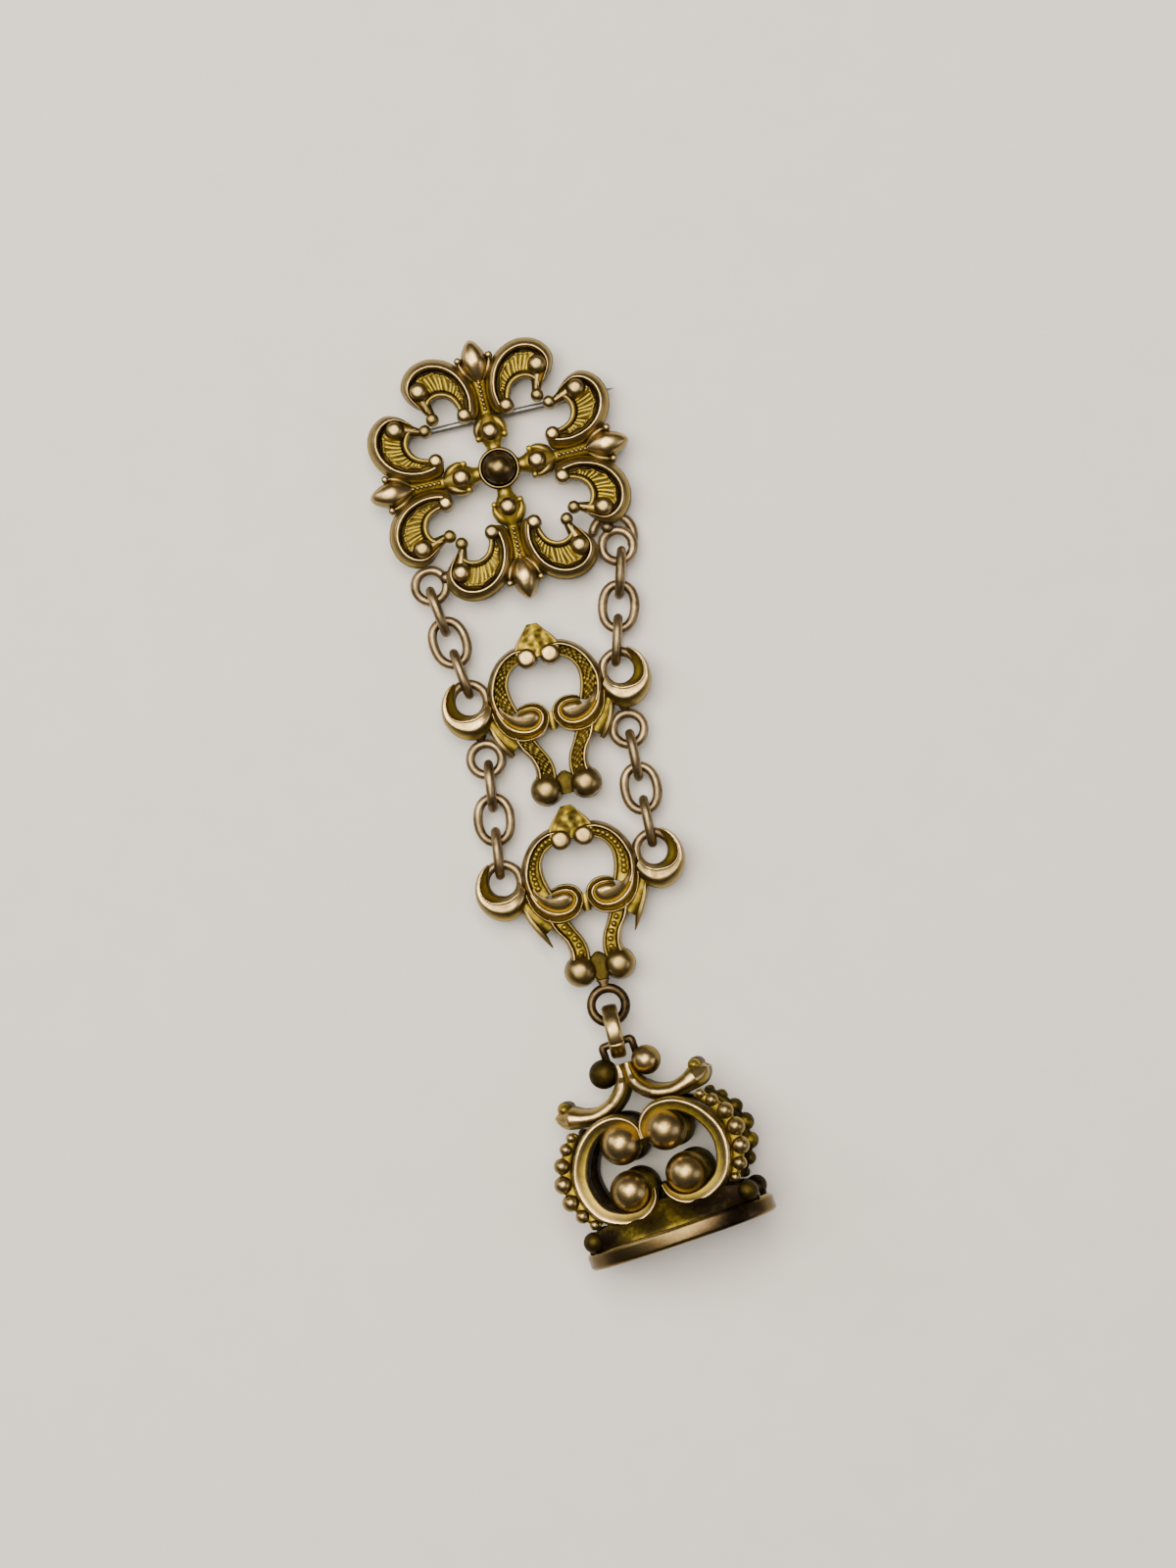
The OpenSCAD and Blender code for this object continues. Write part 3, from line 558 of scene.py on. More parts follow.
def brooch_arm(relief, ridge):
    """One arm drawn upwards: two sunk acanthus panels that curl into their balls, the beaded spine between
    them, the bud at the tip and the trefoil knop beside the collar."""
    tail = [[6.2, 8.9, 0.85, 1.5], [5.85, 7.9, 0.62, 1.35], [5.55, 7.1, 0.45, 1.2], [5.5, 6.6, 0.45, 1.1]]
    sepal = [[0.5, 9.3, 0.3, 0.9], [1.15, 10.1, 0.42, 1.3], [1.5, 10.9, 0.38, 1.35], [1.6, 11.5, 0.2, 1.2]]
    cup = [[0.3, 5.4, 0.5, 0.9], [0.95, 4.9, 0.55, 1.15], [1.35, 4.2, 0.42, 1.15], [1.4, 3.6, 0.25, 1.0]]
    side = [
        scroll_panel(ARM_OUTER, ARM_INNER, relief, acanthus_floor, ridge_r=ridge, steps=9, rim_r=0.24),
        knob(2.2, 6.1, 0.76, relief + 0.16, flat=0.5, wall=0.85),
        knob(6.2, 9.45, 1.02, relief + 0.26, flat=0.6, wall=0.9),
        *toned([leaf(tail), knob(5.5, 6.5, 0.64, 1.6, flat=0.7, around=20)], 0.8),
        leaf(sepal, bright=0.7),
        knob(1.62, 11.6, 0.36, 1.45, flat=0.8, around=20),
        *toned([leaf(cup), knob(1.35, 3.45, 0.32, 1.2, flat=0.8, around=20)], 0.62),
    ]
    spine = [[0, 4.4, 0.75, 0.9], [0, 6.5, 0.62, 0.95], [0, 8.4, 0.7, 0.95], [0, 10.2, 0.9, 1.0]]
    bud = [[0, 9.1, 0.4, 1.1], [0, 10.0, 1.0, 1.7], [0, 11.0, 1.4, 2.05], [0, 12.0, 1.22, 2.0],
           [0, 12.85, 0.8, 1.7], [0, 13.3, 0.45, 1.3], [0, 13.5, 0.12, 0.9]]
    knop = [[0, 0.9, 0.8, 1.3], [0, 2.4, 0.8, 1.2], [0, 3.2, 1.15, 1.45], [0, 4.3, 1.2, 1.5],
            [0, 5.3, 0.9, 1.2], [0, 6.0, 0.3, 0.9]]
    middle = [
        leaf(spine, bright=0.32),
        leaf(bud, swell=2.8, edge=0.25, bright=0.9),
        leaf(knop, bright=0.5),
        knob(0, 3.95, 0.96, relief + 0.1, flat=0.55, wall=0.85),
    ]
    beads = [ball((0, y, 1.08), 0.25, 10, 12, 0.8) for y in np.linspace(6.3, 9.0, 7)]
    return middle + beads + side + mirrored(side)


class FOB_OT_brooch(bpy.types.Operator):
    """Makes the brooch's pierced casting: four arms alike, a quarter turn apart"""
    bl_idname = "fob.brooch"
    bl_label = "Brooch casting"

    def execute(self, context):
        sizes = context.scene.fob_sizes
        arm = brooch_arm(sizes.brooch_relief / MM, sizes.ridge / MM)
        parts = [p for k in range(4) for p in moved(arm, turn_about(Z, 90 * k))]
        hub = [[1.75, 0], [1.75, 1.05], [1.6, 1.28], [0.4, COLLAR_Z]]
        parts.append(turned(hub, (0, 0, 0), wear_and_shade=0.4))
        parts = moved(parts, turn_about(Z, BROOCH_TURN), (*BROOCH, BACK_Z))
        make_piece("brooch_scroll_casting", parts, "gilt", "brooch", "brooch_casting")
        return {"FINISHED"}


class FOB_OT_centre_bead(bpy.types.Operator):
    """Makes the domed bead in its stepped collar"""
    bl_idname = "fob.centre_bead"
    bl_label = "Centre bead"

    def execute(self, context):
        r = context.scene.fob_sizes.bead / MM
        t = np.linspace(-0.25, PI / 2 * 0.97, 20)
        dome = np.column_stack([r * np.cos(t), 0.8 + r * np.sin(t) * 0.98])
        # radius, height and shade up the collar
        rim = np.array([[1.7, 0, 0.1], [2.0, 0.02, 0.2], [2.15, 0.15, 0.4], [2.18, 0.45, 0.6],
                        [2.1, 0.68, 0.8], [1.95, 0.8, 0.75], [1.82, 0.72, 0.25], [1.74, 0.52, 0.0]])
        shade = np.concatenate([rim[:, 2], 0.1 + 0.55 * step_up(np.sin(t), 0.1, 1)])
        parts = [turned(np.vstack([rim[:, :2], dome]), (0, 0, 0), around=48, wear_and_shade=shade)]
        parts = moved(parts, turn_about(Z, BROOCH_TURN), (*BROOCH, BACK_Z + COLLAR_Z))
        make_piece("brooch_centre_bead", parts, "tarnished", "brooch", "centre_bead")
        return {"FINISHED"}


# pin: middle of its eye from the brooch's middle, how far it lies behind the castings, radius of the
# eye's middle line and of the stem, and where the stem starts and how long it is
PIN_EYE, PIN_BEHIND, PIN_EYE_R, PIN_R = np.array([-9.4, 5.6, 0]), 1.6, 0.625, 0.35
PIN_FROM, PIN_LONG = 0.7, 22.1


class FOB_OT_pin_work(bpy.types.Operator):
    """Makes the steel pin with its eye, and finishes the hinge, rivet and catch behind the brooch"""
    bl_idname = "fob.pin_work"
    bl_label = "Pin work"

    def execute(self, context):
        t = np.linspace(0, 1, 30)
        # round stem that draws in to a point over its last fifth
        taper = PIN_R * np.sqrt(np.clip(1 - np.clip((t - 0.8) / 0.2, 0, 1) ** 1.3, 0.0006, 1))
        stem = turned(np.column_stack([taper, PIN_FROM + t * PIN_LONG]), (0, 0, 0), (1, 0, 0), 20, 0.6)
        ring = circle(PIN_EYE_R, np.linspace(0, 2 * PI, 48, endpoint=False))
        eye = swept(ring, UPWARDS, 0.22, 0.34, square=4, closed=True)
        turn = turn_about(Z, BROOCH_TURN)
        parts = moved([stem, eye], turn, turn @ PIN_EYE + [*BROOCH, BACK_Z - PIN_BEHIND])
        make_piece("brooch_pin", parts, "steel", "pin", "pin_stem")
        for node, key in (("pin_hinge", "wire"), ("pin_catch", "wire"), ("pin_hinge_rivet", "steel")):
            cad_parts[node].data.materials.clear()
            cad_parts[node].data.materials.append(finish_for(key))
        return {"FINISHED"}


# Rings and links

def wire_turn(centre, r, start=0.0, end=360.0):
    """Turn of round wire lying flat, its thickness wandering a little as hand-bent wire does."""
    whole = end - start >= 360
    a = np.radians(np.linspace(start, end, 73 if whole else 49))
    a = a[:-1] if whole else a
    thick = WIRE_R - 0.012 * (1 + np.sin(3 * a + centre[0]))
    return swept(np.asarray(centre) + circle(r, a), UPWARDS, thick, thick, closed=whole)


def solder_post(x, y, r):
    """Short post from the ring up to the casting's back, with a fillet of solder at each end."""
    h = np.linspace(0, 1, 9)
    prof = np.column_stack([r * (0.82 + 0.18 * (2 * h - 1) ** 2), LAY_Z - 0.3 + h * (BACK_Z - LAY_Z + 0.3)])
    return turned(prof, (x, y, 0), around=24, wear_and_shade=0.4)


# the larger turn behind the brooch: centre, radius, first and last angle, and the angle of its post
REAR_CENTRE = np.array([*(RING_RIGHT + [-0.2, 1.2]), LAY_Z - 1.05])
REAR_R, REAR_FROM, REAR_TO, REAR_POST = 2.1, -35, 160, 95


class FOB_OT_rings(bpy.types.Operator):
    """Makes the soldered rings behind the brooch's corners and the plaques' ears"""
    bl_idname = "fob.rings"
    bl_label = "Soldered rings"

    def execute(self, context):
        # name, body, centre and radius of each ring, and place and radius of its post
        rings = [
            ("brooch_ring_left", "brooch", RING_LEFT, RING_R, RING_LEFT + [1.75, 0.5], 0.65),
            ("brooch_ring_right", "brooch", RING_RIGHT, RING_R, RING_RIGHT + [-0.6, 2.1], 0.65),
        ]
        for level, c in (("upper", UPPER), ("lower", LOWER)):
            for side, x in (("left", -1), ("right", 1)):
                rings.append((f"{level}_ear_ring_{side}", f"{level}_plaque", c + [x * EAR_DX, EAR_DY], EAR_R,
                              c + [x * (EAR_DX + 0.6), EAR_DY - EAR_R], 0.6))
        for side, x in (("left", -1), ("right", 1)):
            rings.append((f"upper_drop_ring_{side}", "upper_plaque", UPPER + [x * DROP_DX, DROP_DY], RING_R,
                          UPPER + [x * (DROP_DX + 0.1), -3.3], 0.6))
        for name, body, c, r, post, post_r in rings:
            parts = [wire_turn((*c, LAY_Z), r), solder_post(*post, post_r)]
            make_piece(name + "_wire", parts, "wire", body, name)
        # larger turn behind the right brooch ring, open below where the first link passes
        c = REAR_CENTRE
        first, last, post = circle(REAR_R, np.radians([REAR_FROM, REAR_TO, REAR_POST]))
        rise = c[2] + np.linspace(0, 1, 6) * (BACK_Z - c[2])
        stem = turned(np.column_stack([WIRE_R + 0 * rise, rise]), c * [1, 1, 0] + post, wear_and_shade=0.4)
        parts = [wire_turn(c, REAR_R, REAR_FROM, REAR_TO), stem,
                 *(ball(c + tip, WIRE_R - 0.015, wear_and_shade=0.6) for tip in (first, last))]
        make_piece("brooch_rear_ring_wire", parts, "wire", "brooch", "brooch_rear_ring")
        # bottom ring, closed at the top by a short tail to the plaque's web
        c = (LOWER[0], LOWER[1] + BOTTOM_DY)
        tail = np.array([[c[0], c[1] + BOTTOM_R - 0.25, BOTTOM_Z], [c[0], LOWER[1] - WEB_END, BOTTOM_Z]])
        tail = spline(np.vstack([tail[0], tail.mean(0), tail[1]]), 6)
        width = 0.5 + 0.28 * np.abs(np.linspace(-1, 1, len(tail))) ** 2
        parts = [wire_turn((*c, BOTTOM_Z), BOTTOM_R), swept(tail, UPWARDS, width, 0.42, square=3)]
        make_piece("lower_bottom_ring_wire", parts, "dark_wire", "lower_plaque", "lower_bottom_ring")
        return {"FINISHED"}


def link_path():
    """Middle line of a link in its own plane: the superellipse (x / a)^2.25 + (y / b)^2.25 = 1."""
    x, y = squared_circle(np.linspace(-PI / 2, 3 * PI / 2, 64, endpoint=False), 2.25)
    return np.column_stack([LINK_RUN / 2 * x, LINK_END_R * y])


class FOB_OT_links(bpy.types.Operator):
    """Makes the twelve oval links of the four chains, each turned a quarter from the one before"""
    bl_idname = "fob.links"
    bl_label = "Chain links"

    def execute(self, context):
        lowered = np.array([0, RING_R])
        raised = np.array([0, EAR_R])
        chains = {
            "upper_left": (RING_LEFT - lowered, UPPER + [-EAR_DX, EAR_DY] + raised),
            "upper_right": (RING_RIGHT - lowered, UPPER + [EAR_DX, EAR_DY] + raised),
            "lower_left": (UPPER + [-DROP_DX, DROP_DY] - lowered, LOWER + [-EAR_DX, EAR_DY] + raised),
            "lower_right": (UPPER + [DROP_DX, DROP_DY] - lowered, LOWER + [EAR_DX, EAR_DY] + raised),
        }
        flat = link_path()
        for chain, (top, end) in chains.items():
            run = np.linalg.norm(end - top)
            d = (end - top) / run
            hang = (3 * LINK_RUN - run) / 4
            along_chain, sideways = np.array([*d, 0]), np.array([-d[1], d[0], 0])
            for k in (1, 2, 3):
                centre = top + d * (LINK_RUN / 2 + (k - 1) * LINK_RUN - k * hang)
                across, normal = (sideways, UPWARDS) if k == 2 else (UPWARDS, sideways)
                path = np.array([*centre, LAY_Z]) + flat[:, :1] * along_chain + flat[:, 1:] * across
                turn = np.linspace(0, 2 * PI, len(flat), endpoint=False)
                thick = WIRE_R - 0.014 * (1 + np.sin(2 * turn + k + run))
                name = f"{chain}_link_{k}"
                parts = [swept(path, normal, thick, thick, closed=True)]
                make_piece(name + "_wire", parts, "wire", name, name)
        return {"FINISHED"}


# Plaques

# x and y down the right half: C scroll and leg, each an outer and an inner curve
SCROLL_OUTER = [[1.2, 4.7], [2.6, 4.65], [4.1, 3.85], [5.3, 2.4], [6.0, 0.5], [5.85, -1.4], [5.4, -2.4]]
SCROLL_INNER = [[1.4, 3], [2.3, 2.85], [3, 2.4], [3.5, 1.6], [3.65, 0.7], [3.5, -0.5], [3.1, -1.7]]
LEG_OUTER = [[4.4, -4.2], [3.9, -5.5], [3.1, -6.7], [2.75, -7.9], [2.85, -9.2]]
LEG_INNER = [[2.2, -4.6], [1.6, -5.8], [1, -6.9], [0.7, -8.1], [0.75, -9.4]]
# x, y, lift and the crest's share of the way in round the ear, and its hole
COMMA_OUTER = [[9, 2.55, 0.62, 0.3], [9.7, 2.15, 0.75, 0.34], [10.4, 1.35, 0.86, 0.38],
               [10.85, 0.1, 0.95, 0.42], [10.8, -1.3, 1, 0.52], [10.1, -2.6, 1, 0.7], [9, -3.4, 1, 0.84],
               [7.8, -3.6, 1, 0.88], [6.7, -3.1, 1, 0.88], [5.9, -2.2, 0.9, 0.86], [5.5, -1.2, 0.75, 0.8]]
COMMA_INNER = [[8.95, 2], [9.2, 1.5], [9.35, 0.95], [9.4, 0.35], [9.25, -0.3], [8.8, -0.85], [8.2, -1.12],
               [7.6, -1.12], [7, -0.85], [6.6, -0.5], [6.35, 0.1]]
# the same for the eye in which the C scroll ends
EYE_OUTER = [[5.95, -0.9, 0.8, 0.7], [5.85, -2.1, 0.92, 0.68], [5.4, -3.4, 1, 0.64], [4.55, -4.4, 1, 0.6],
             [3.4, -4.95, 1, 0.56], [2.1, -4.95, 1, 0.52], [0.95, -4.4, 1, 0.48], [0.25, -3.4, 1, 0.46],
             [0.15, -2.4, 1, 0.46], [0.6, -1.55, 1, 0.48], [1.4, -1.1, 1, 0.5], [2.3, -1.05, 0.98, 0.54],
             [3.1, -1.3, 0.9, 0.58]]
EYE_INNER = [[4.9, -0.9], [4.6, -1.5], [4.1, -1.95], [3.6, -2.2], [3.1, -2.35], [2.7, -2.45], [2.4, -2.5],
             [2.2, -2.5], [2.15, -2.48], [2.25, -2.5], [2.5, -2.52], [2.9, -2.5], [3.4, -2.4]]
# share of the way in, height and shade: rail, groove and two nested lobes parted by an engraved line
EYE_SECTION = [[0, 0.3, 0.12], [0.05, 0.58, 0.45], [0.12, 0.8, 0.95], [0.2, 0.68, 0.45], [0.27, 0.6, 0.2],
               [0.34, 0.72, 0.45], [0.42, 0.9, 0.7], [0.5, 0.99, 0.95], [0.6, 0.98, 0.7], [0.68, 0.9, 0.42],
               [0.72, 0.88, 0.4], [0.77, 0.97, 0.75], [0.82, 1.04, 0.95], [0.9, 1.09, 0.84],
               [0.96, 1.11, 0.8], [1, 1.12, 0.8]]
# the same for an ear: outer roll, level face, crisp crest and a hollow gilt slope down to the hole
EAR_SECTION = [[0, 0.25, 0.15], [0.05, 0.55, 0.42], [0.14, 0.8, 0.58], [0.25, 0.96, 0.7], [0.34, 1.02, 0.9],
               [0.48, 1.03, 0.88], [0.62, 1.04, 0.88], [0.69, 1.06, 1], [0.75, 0.95, 0.6], [0.83, 0.72, 0.42],
               [0.92, 0.56, 0.4], [1, 0.42, 0.2]]
CREST_AT = 0.72


def fluted(outer, inner, section, relief):
    """Cast lobe between an outer curve of x, y, lift and the crest's share of the way in, and an inner
    curve of x and y. Its section is drawn out or together so that its crest, which lies at CREST_AT,
    comes where the outer curve says."""
    o, i = spline(outer, 8), spline(inner, 8)
    u, h, shade = spline(section, 4).T
    crest = o[:, 3:4]
    u = np.where(u < CREST_AT, u / CREST_AT * crest, crest + (u - CREST_AT) / (1 - CREST_AT) * (1 - crest))
    xy = o[:, None, :2] + (i - o[:, :2])[:, None, :] * u[:, :, None]
    return on_back(xy, relief * o[:, 2:3] * h, shade)


def bead_row(outer, inner, count, low, high, z, r):
    """Row of beads of radius r down the middle of a channel, from the share low of its length to high."""
    mid = 0.42 * spline(outer, 20) + 0.58 * spline(inner, 20)
    s = along(mid)
    at = np.linspace(low * s[-1], high * s[-1], count)
    return [ball((np.interp(d, s, mid[:, 0]), np.interp(d, s, mid[:, 1]), z), r, 10, 14, 0.5) for d in at]


def plaque_half(relief, ridge, floor, grain_r, spur, foot_tone):
    """Right half of a plaque: C scroll with its eye, polished comma ear, sunk leg with its foot, spur
    leaf and one of the two balls under the heart."""
    ankle = [[2.0, -8.4, 0.7, 1.0], [2.05, -9.2, 1.05, 1.6], [2.05, -10.3, 1.2, 1.9]]
    under = [[6.3, -1.9, 0.4, 1.0], [5.8, -3.1, 0.75, 1.1], [5.0, -4.3, 0.85, 1.1], [4.1, -5.3, 0.6, 1.0]]
    parts = [
        scroll_panel(SCROLL_OUTER, SCROLL_INNER, relief, floor, ridge_r=ridge * 0.9, shoulder_w=0.5),
        fluted(COMMA_OUTER, COMMA_INNER, EAR_SECTION, relief * 0.98),
        fluted(EYE_OUTER, EYE_INNER, EYE_SECTION, relief),
        scroll_panel(LEG_OUTER, LEG_INNER, relief * 0.8, floor, ridge_r=ridge * 0.8, shoulder_w=0.3),
        *toned([leaf(ankle, bright=0.8), knob(2.05, -10.15, 1.58, 2.15, flat=0.7, wall=0.95)], foot_tone),
        *toned([leaf(spur, swell=1.8, crease=0.12)], 0.8),
        leaf(under, bright=0.3),
        knob(1.2, 3.4, 1.02, relief + 0.25, flat=0.35, wall=0.6),
    ]
    if grain_r:
        parts += bead_row(SCROLL_OUTER, SCROLL_INNER, 12, 0.12, 0.86, 0.4 * relief + 0.28, grain_r)
        parts += bead_row(LEG_OUTER, LEG_INNER, 6, 0.2, 0.95, 0.32 * relief + 0.28, grain_r)
    return parts


def heart(relief):
    """Heart leaf above the two balls: a low pyramid from its middle line, with chased veins that fan out
    from its foot and waver with the distance from it, and a thin raised edge."""
    v = np.linspace(-1, 1, 31)
    y = np.broadcast_to(3.3 + 3.45 * np.linspace(0, 1, 30)[:, None], (30, 31))
    half = 2.3 * spline([[0.85], [1.0], [0.98], [0.84], [0.63], [0.41], [0.2], [0.02]], 5)[:30]
    x = half * v
    rim = step_up(np.abs(v), 0.8, 0.93) * (1 - step_up(np.abs(v), 0.97, 1.0))
    reach = np.hypot(x, y - 2.4)
    vein = np.cos(13 * np.arctan2(x, y - 2.4) + 1.3 * np.sin(2.6 * reach)) * (0.6 + 0.4 * np.sin(9 * reach))
    vein = vein * (1 - step_up(np.abs(v), 0.7, 0.85))
    z = relief * (0.86 - 0.1 * np.abs(v)) + 0.12 * rim + 0.05 * vein
    return on_back(np.dstack([x, y]), z, 0.26 + 0.45 * rim + 0.15 * vein)


class FOB_OT_plaques(bpy.types.Operator):
    """Makes the two scroll plaques: a stippled one above and a beaded one below"""
    bl_idname = "fob.plaques"
    bl_label = "Plaques"

    def execute(self, context):
        sizes = context.scene.fob_sizes
        relief, ridge = sizes.plaque_relief / MM, sizes.ridge / MM
        # the lower spur runs out to a thin point
        kinds = (
            ("upper", UPPER, stippled_floor, 0.0, 0.92, -10.9,
             [[5.95, -3.8, 0.36, 1.3], [5.3, -5.1, 0.42, 1.3], [4.6, -6.1, 0.28, 0.9]]),
            ("lower", LOWER, plain_floor, sizes.grain / MM, 0.86, -WEB_END,
             [[5.9, -3.9, 0.36, 1.3], [5.1, -5.5, 0.38, 1.25], [4.3, -7.2, 0.08, 0.7]]),
        )
        for level, centre, floor, grain_r, foot_tone, web_to, spur in kinds:
            spur = [[6.3, -2.5, 0.25, 1.0], *spur]
            half = plaque_half(relief, ridge, floor, grain_r, spur, foot_tone)
            tie = [[0, -2.4, 0.5, 0.9], [0, -3.3, 0.55, 1.0], [0, -4.2, 0.4, 0.9]]
            web = [[0, -8.5, 0.2, 0.3], [0, -9.1, 0.9, 0.5], [0, -10.0, 1.1, 0.6], [0, web_to, 0.6, 0.6]]
            middle = [heart(relief), leaf(tie, bright=0.5),
                      *toned([leaf(web, swell=4, edge=0.6, bright=0.24)], 0.6)]
            parts = moved(middle + half + mirrored(half), None, (*centre, BACK_Z))
            make_piece(f"{level}_scroll_plaque", parts, "gilt", f"{level}_plaque", f"{level}_plaque")
        return {"FINISHED"}


# Seal

# x, y and half width along the right half's scroll, bead strip, row of beads and crown strap
C_RIBBON = [[0.22, 11.1, 0.3036], [0.38, 12.3, 0.4692], [1.2, 13.25, 0.6072], [2.5, 13.7, 0.69],
            [4.4, 13.35, 0.7176], [6.2, 11.9, 0.7728], [7.4, 9.6, 0.828], [7.4, 7.3, 0.828],
            [6.5, 5.3, 0.7728], [4.9, 4.2, 0.7176], [3.2, 3.85, 0.6348], [1.8, 4.2, 0.5244],
            [0.85, 5.1, 0.3864], [0.5, 6.2, 0.2484]]
BEAD_STRIP = [[6.5, 13.7, 0.4], [7.6, 12.5, 0.55], [8.5, 10.9, 0.65], [8.85, 9.3, 0.7], [8.75, 7.3, 0.68],
              [8.0, 5.5, 0.55], [7.1, 4.2, 0.4]]
BEAD_ROW = [[6.9935, 13.5, 0.5124], [7.88, 12.55, 0.671], [8.81575, 11.1, 0.854], [9.30825, 9.3, 0.9516],
            [9.1605, 7.35, 0.9028], [8.471, 5.7, 0.732], [7.5845, 4.5, 0.549]]
STRAP = [[0.5, 18.9, 0.45], [0.44, 17.9, 0.62], [0.85, 16.5, 0.86], [2.2, 15.25, 0.88], [4.0, 14.75, 0.86],
         [5.6, 14.95, 0.98], [6.7, 15.3, 1.2], [7.3, 15.5, 1.15], [7.75, 15.65, 0.92], [8.05, 15.75, 0.62],
         [8.2, 15.8, 0.3], [8.26, 15.82, 0.08]]
UPPER_BALL, LOWER_BALL, TOP_BALL = (2.4, 11.3), (3.0, 6.5), (2.3, 18.5)
FRAME_Z, PLINTH_Y = 2.85, 1.75


def ball_shade(rows, low=0.34, high=0.86):
    """A ball is rubbed bright on the side that faces out, and darker round its middle: gilding kept there,
    and painted shade on the sideways wall.
    """
    return low + (high - low) * step_up(np.abs(np.cos(np.linspace(0, PI, rows))), 0.0, 0.7)


# share of the half width outwards, share of the half depth and shade: outer wall, rounded ridge and a gilt
# slope that falls inwards to a thin lip over the dark inner wall; both side walls are painted dark as shade
BEVEL = [[0.96, -1, 0.1], [1, -0.2, 0.12], [0.98, 0.4, 0.3], [0.86, 0.82, 0.6], [0.62, 1, 0.86],
         [0.4, 1.03, 0.88], [0.15, 0.98, 0.72], [-0.2, 0.88, 0.56], [-0.58, 0.78, 0.5], [-0.78, 0.74, 0.62],
         [-0.92, 0.66, 0.7], [-1, 0.4, 0.12], [-0.98, -1, 0.05]]


def bevelled(stations, half_depth):
    """Strip bent in the seal's plane along stations of x, y and half thickness. Its section is a smooth
    curve through the rows of BEVEL."""
    s = spline(stations, 10)
    d = tangents(s[:, :2])
    out = np.column_stack([-d[:, 1], d[:, 0]])
    e, up, shade = spline(BEVEL, 4).T
    xy = s[:, None, :2] + (s[:, 2:3] * e[None, :])[:, :, None] * out[:, None, :]
    return skin(np.dstack([xy, np.broadcast_to(half_depth * up, xy.shape[:2])]), shade[None, :])


def plinth():
    """Low moulding that joins both scrolls of a frame to the base: a skirt that falls as a hollow curve
    from the ribbons to the rim of the base, cut square behind."""
    x = np.linspace(-9.1, 9.1, 61)[:, None]
    side = np.abs(x) / 9.1
    height = 2.9 - 1.5 * side ** 3 + 0.25 * np.cos(2 * PI * x / 4.4) * (1 - side)
    reach = np.maximum(5.7 * np.sqrt(1 - 0.96 * side ** 2) - FRAME_Z, -0.2)
    t = np.linspace(0, 1, 14)[None, :]
    z = 0.55 + (reach - 0.55) * (1 - t) ** 1.3
    y = PLINTH_Y + height * (0.1 + 0.9 * t ** 0.8) * np.sin(PI / 2 * np.minimum(1, 3 * t + 0.4))
    wear_and_shade = 0.23 + 0.06 * np.sin(1.3 * x + 3 * t) - 0.18 * side - 0.12 * t - 0.14 * step_up(x, 0.5, 6.0)
    # down the front first, then the two edges of the back
    zero = 0 * x
    y = np.hstack([zero + PLINTH_Y - 0.05, y, PLINTH_Y + height, zero + PLINTH_Y])
    z = np.hstack([reach, z, zero - 1.2, zero - 1.2])
    wear_and_shade = np.hstack([zero, wear_and_shade, zero + 0.1, zero + 0.1])
    return skin(np.dstack([np.broadcast_to(x, y.shape), y, z]), wear_and_shade)


def scroll_half(ball_r):
    """Right half of a scroll frame: bevelled C ribbon that winds onto its two balls, the bead row on its
    backing strip, and the dark lobe at the corner of the base."""
    rows = 24
    parts = [bevelled(C_RIBBON, 1.15)]
    parts += [ball((x, y, 0), ball_r, rows, 40, ball_shade(rows)) for x, y in (UPPER_BALL, LOWER_BALL)]
    strip = spline(BEAD_STRIP, 8)
    path = strip * [1, 1, 0]
    parts.append(swept(path, UPWARDS, strip[:, 2], 0.5, square=2.4, around=16, wear_and_shade=0.3))
    parts += [ball((x, y, 0.35), r, 14, 22, ball_shade(14, 0.3, 0.8)) for x, y, r in BEAD_ROW]
    parts.append(ball((8.3, 2.85, 0.1), 1.08, 16, 24, ball_shade(16, 0.0, 0.12)))
    return parts


class FOB_OT_scroll_frames(bpy.types.Operator):
    """Makes the seal's front and rear scroll frames, alike and back to back"""
    bl_idname = "fob.scroll_frames"
    bl_label = "Seal scroll frames"

    def execute(self, context):
        half = scroll_half(context.scene.fob_sizes.seal_ball / MM)
        front = moved(half + mirrored(half) + [plinth()], None, (0, 0, FRAME_Z))
        # the rear frame is darkened, partly tarnish and partly painted shade where it lies behind the front
        # frame
        rear = toned(mirrored(front, 2), 0.28)
        make_seal_piece("seal_front_scrolls_casting", front, "gilt", "seal_front_scrolls")
        make_seal_piece("seal_rear_scrolls_casting", rear, "gilt", "seal_rear_scrolls")
        return {"FINISHED"}


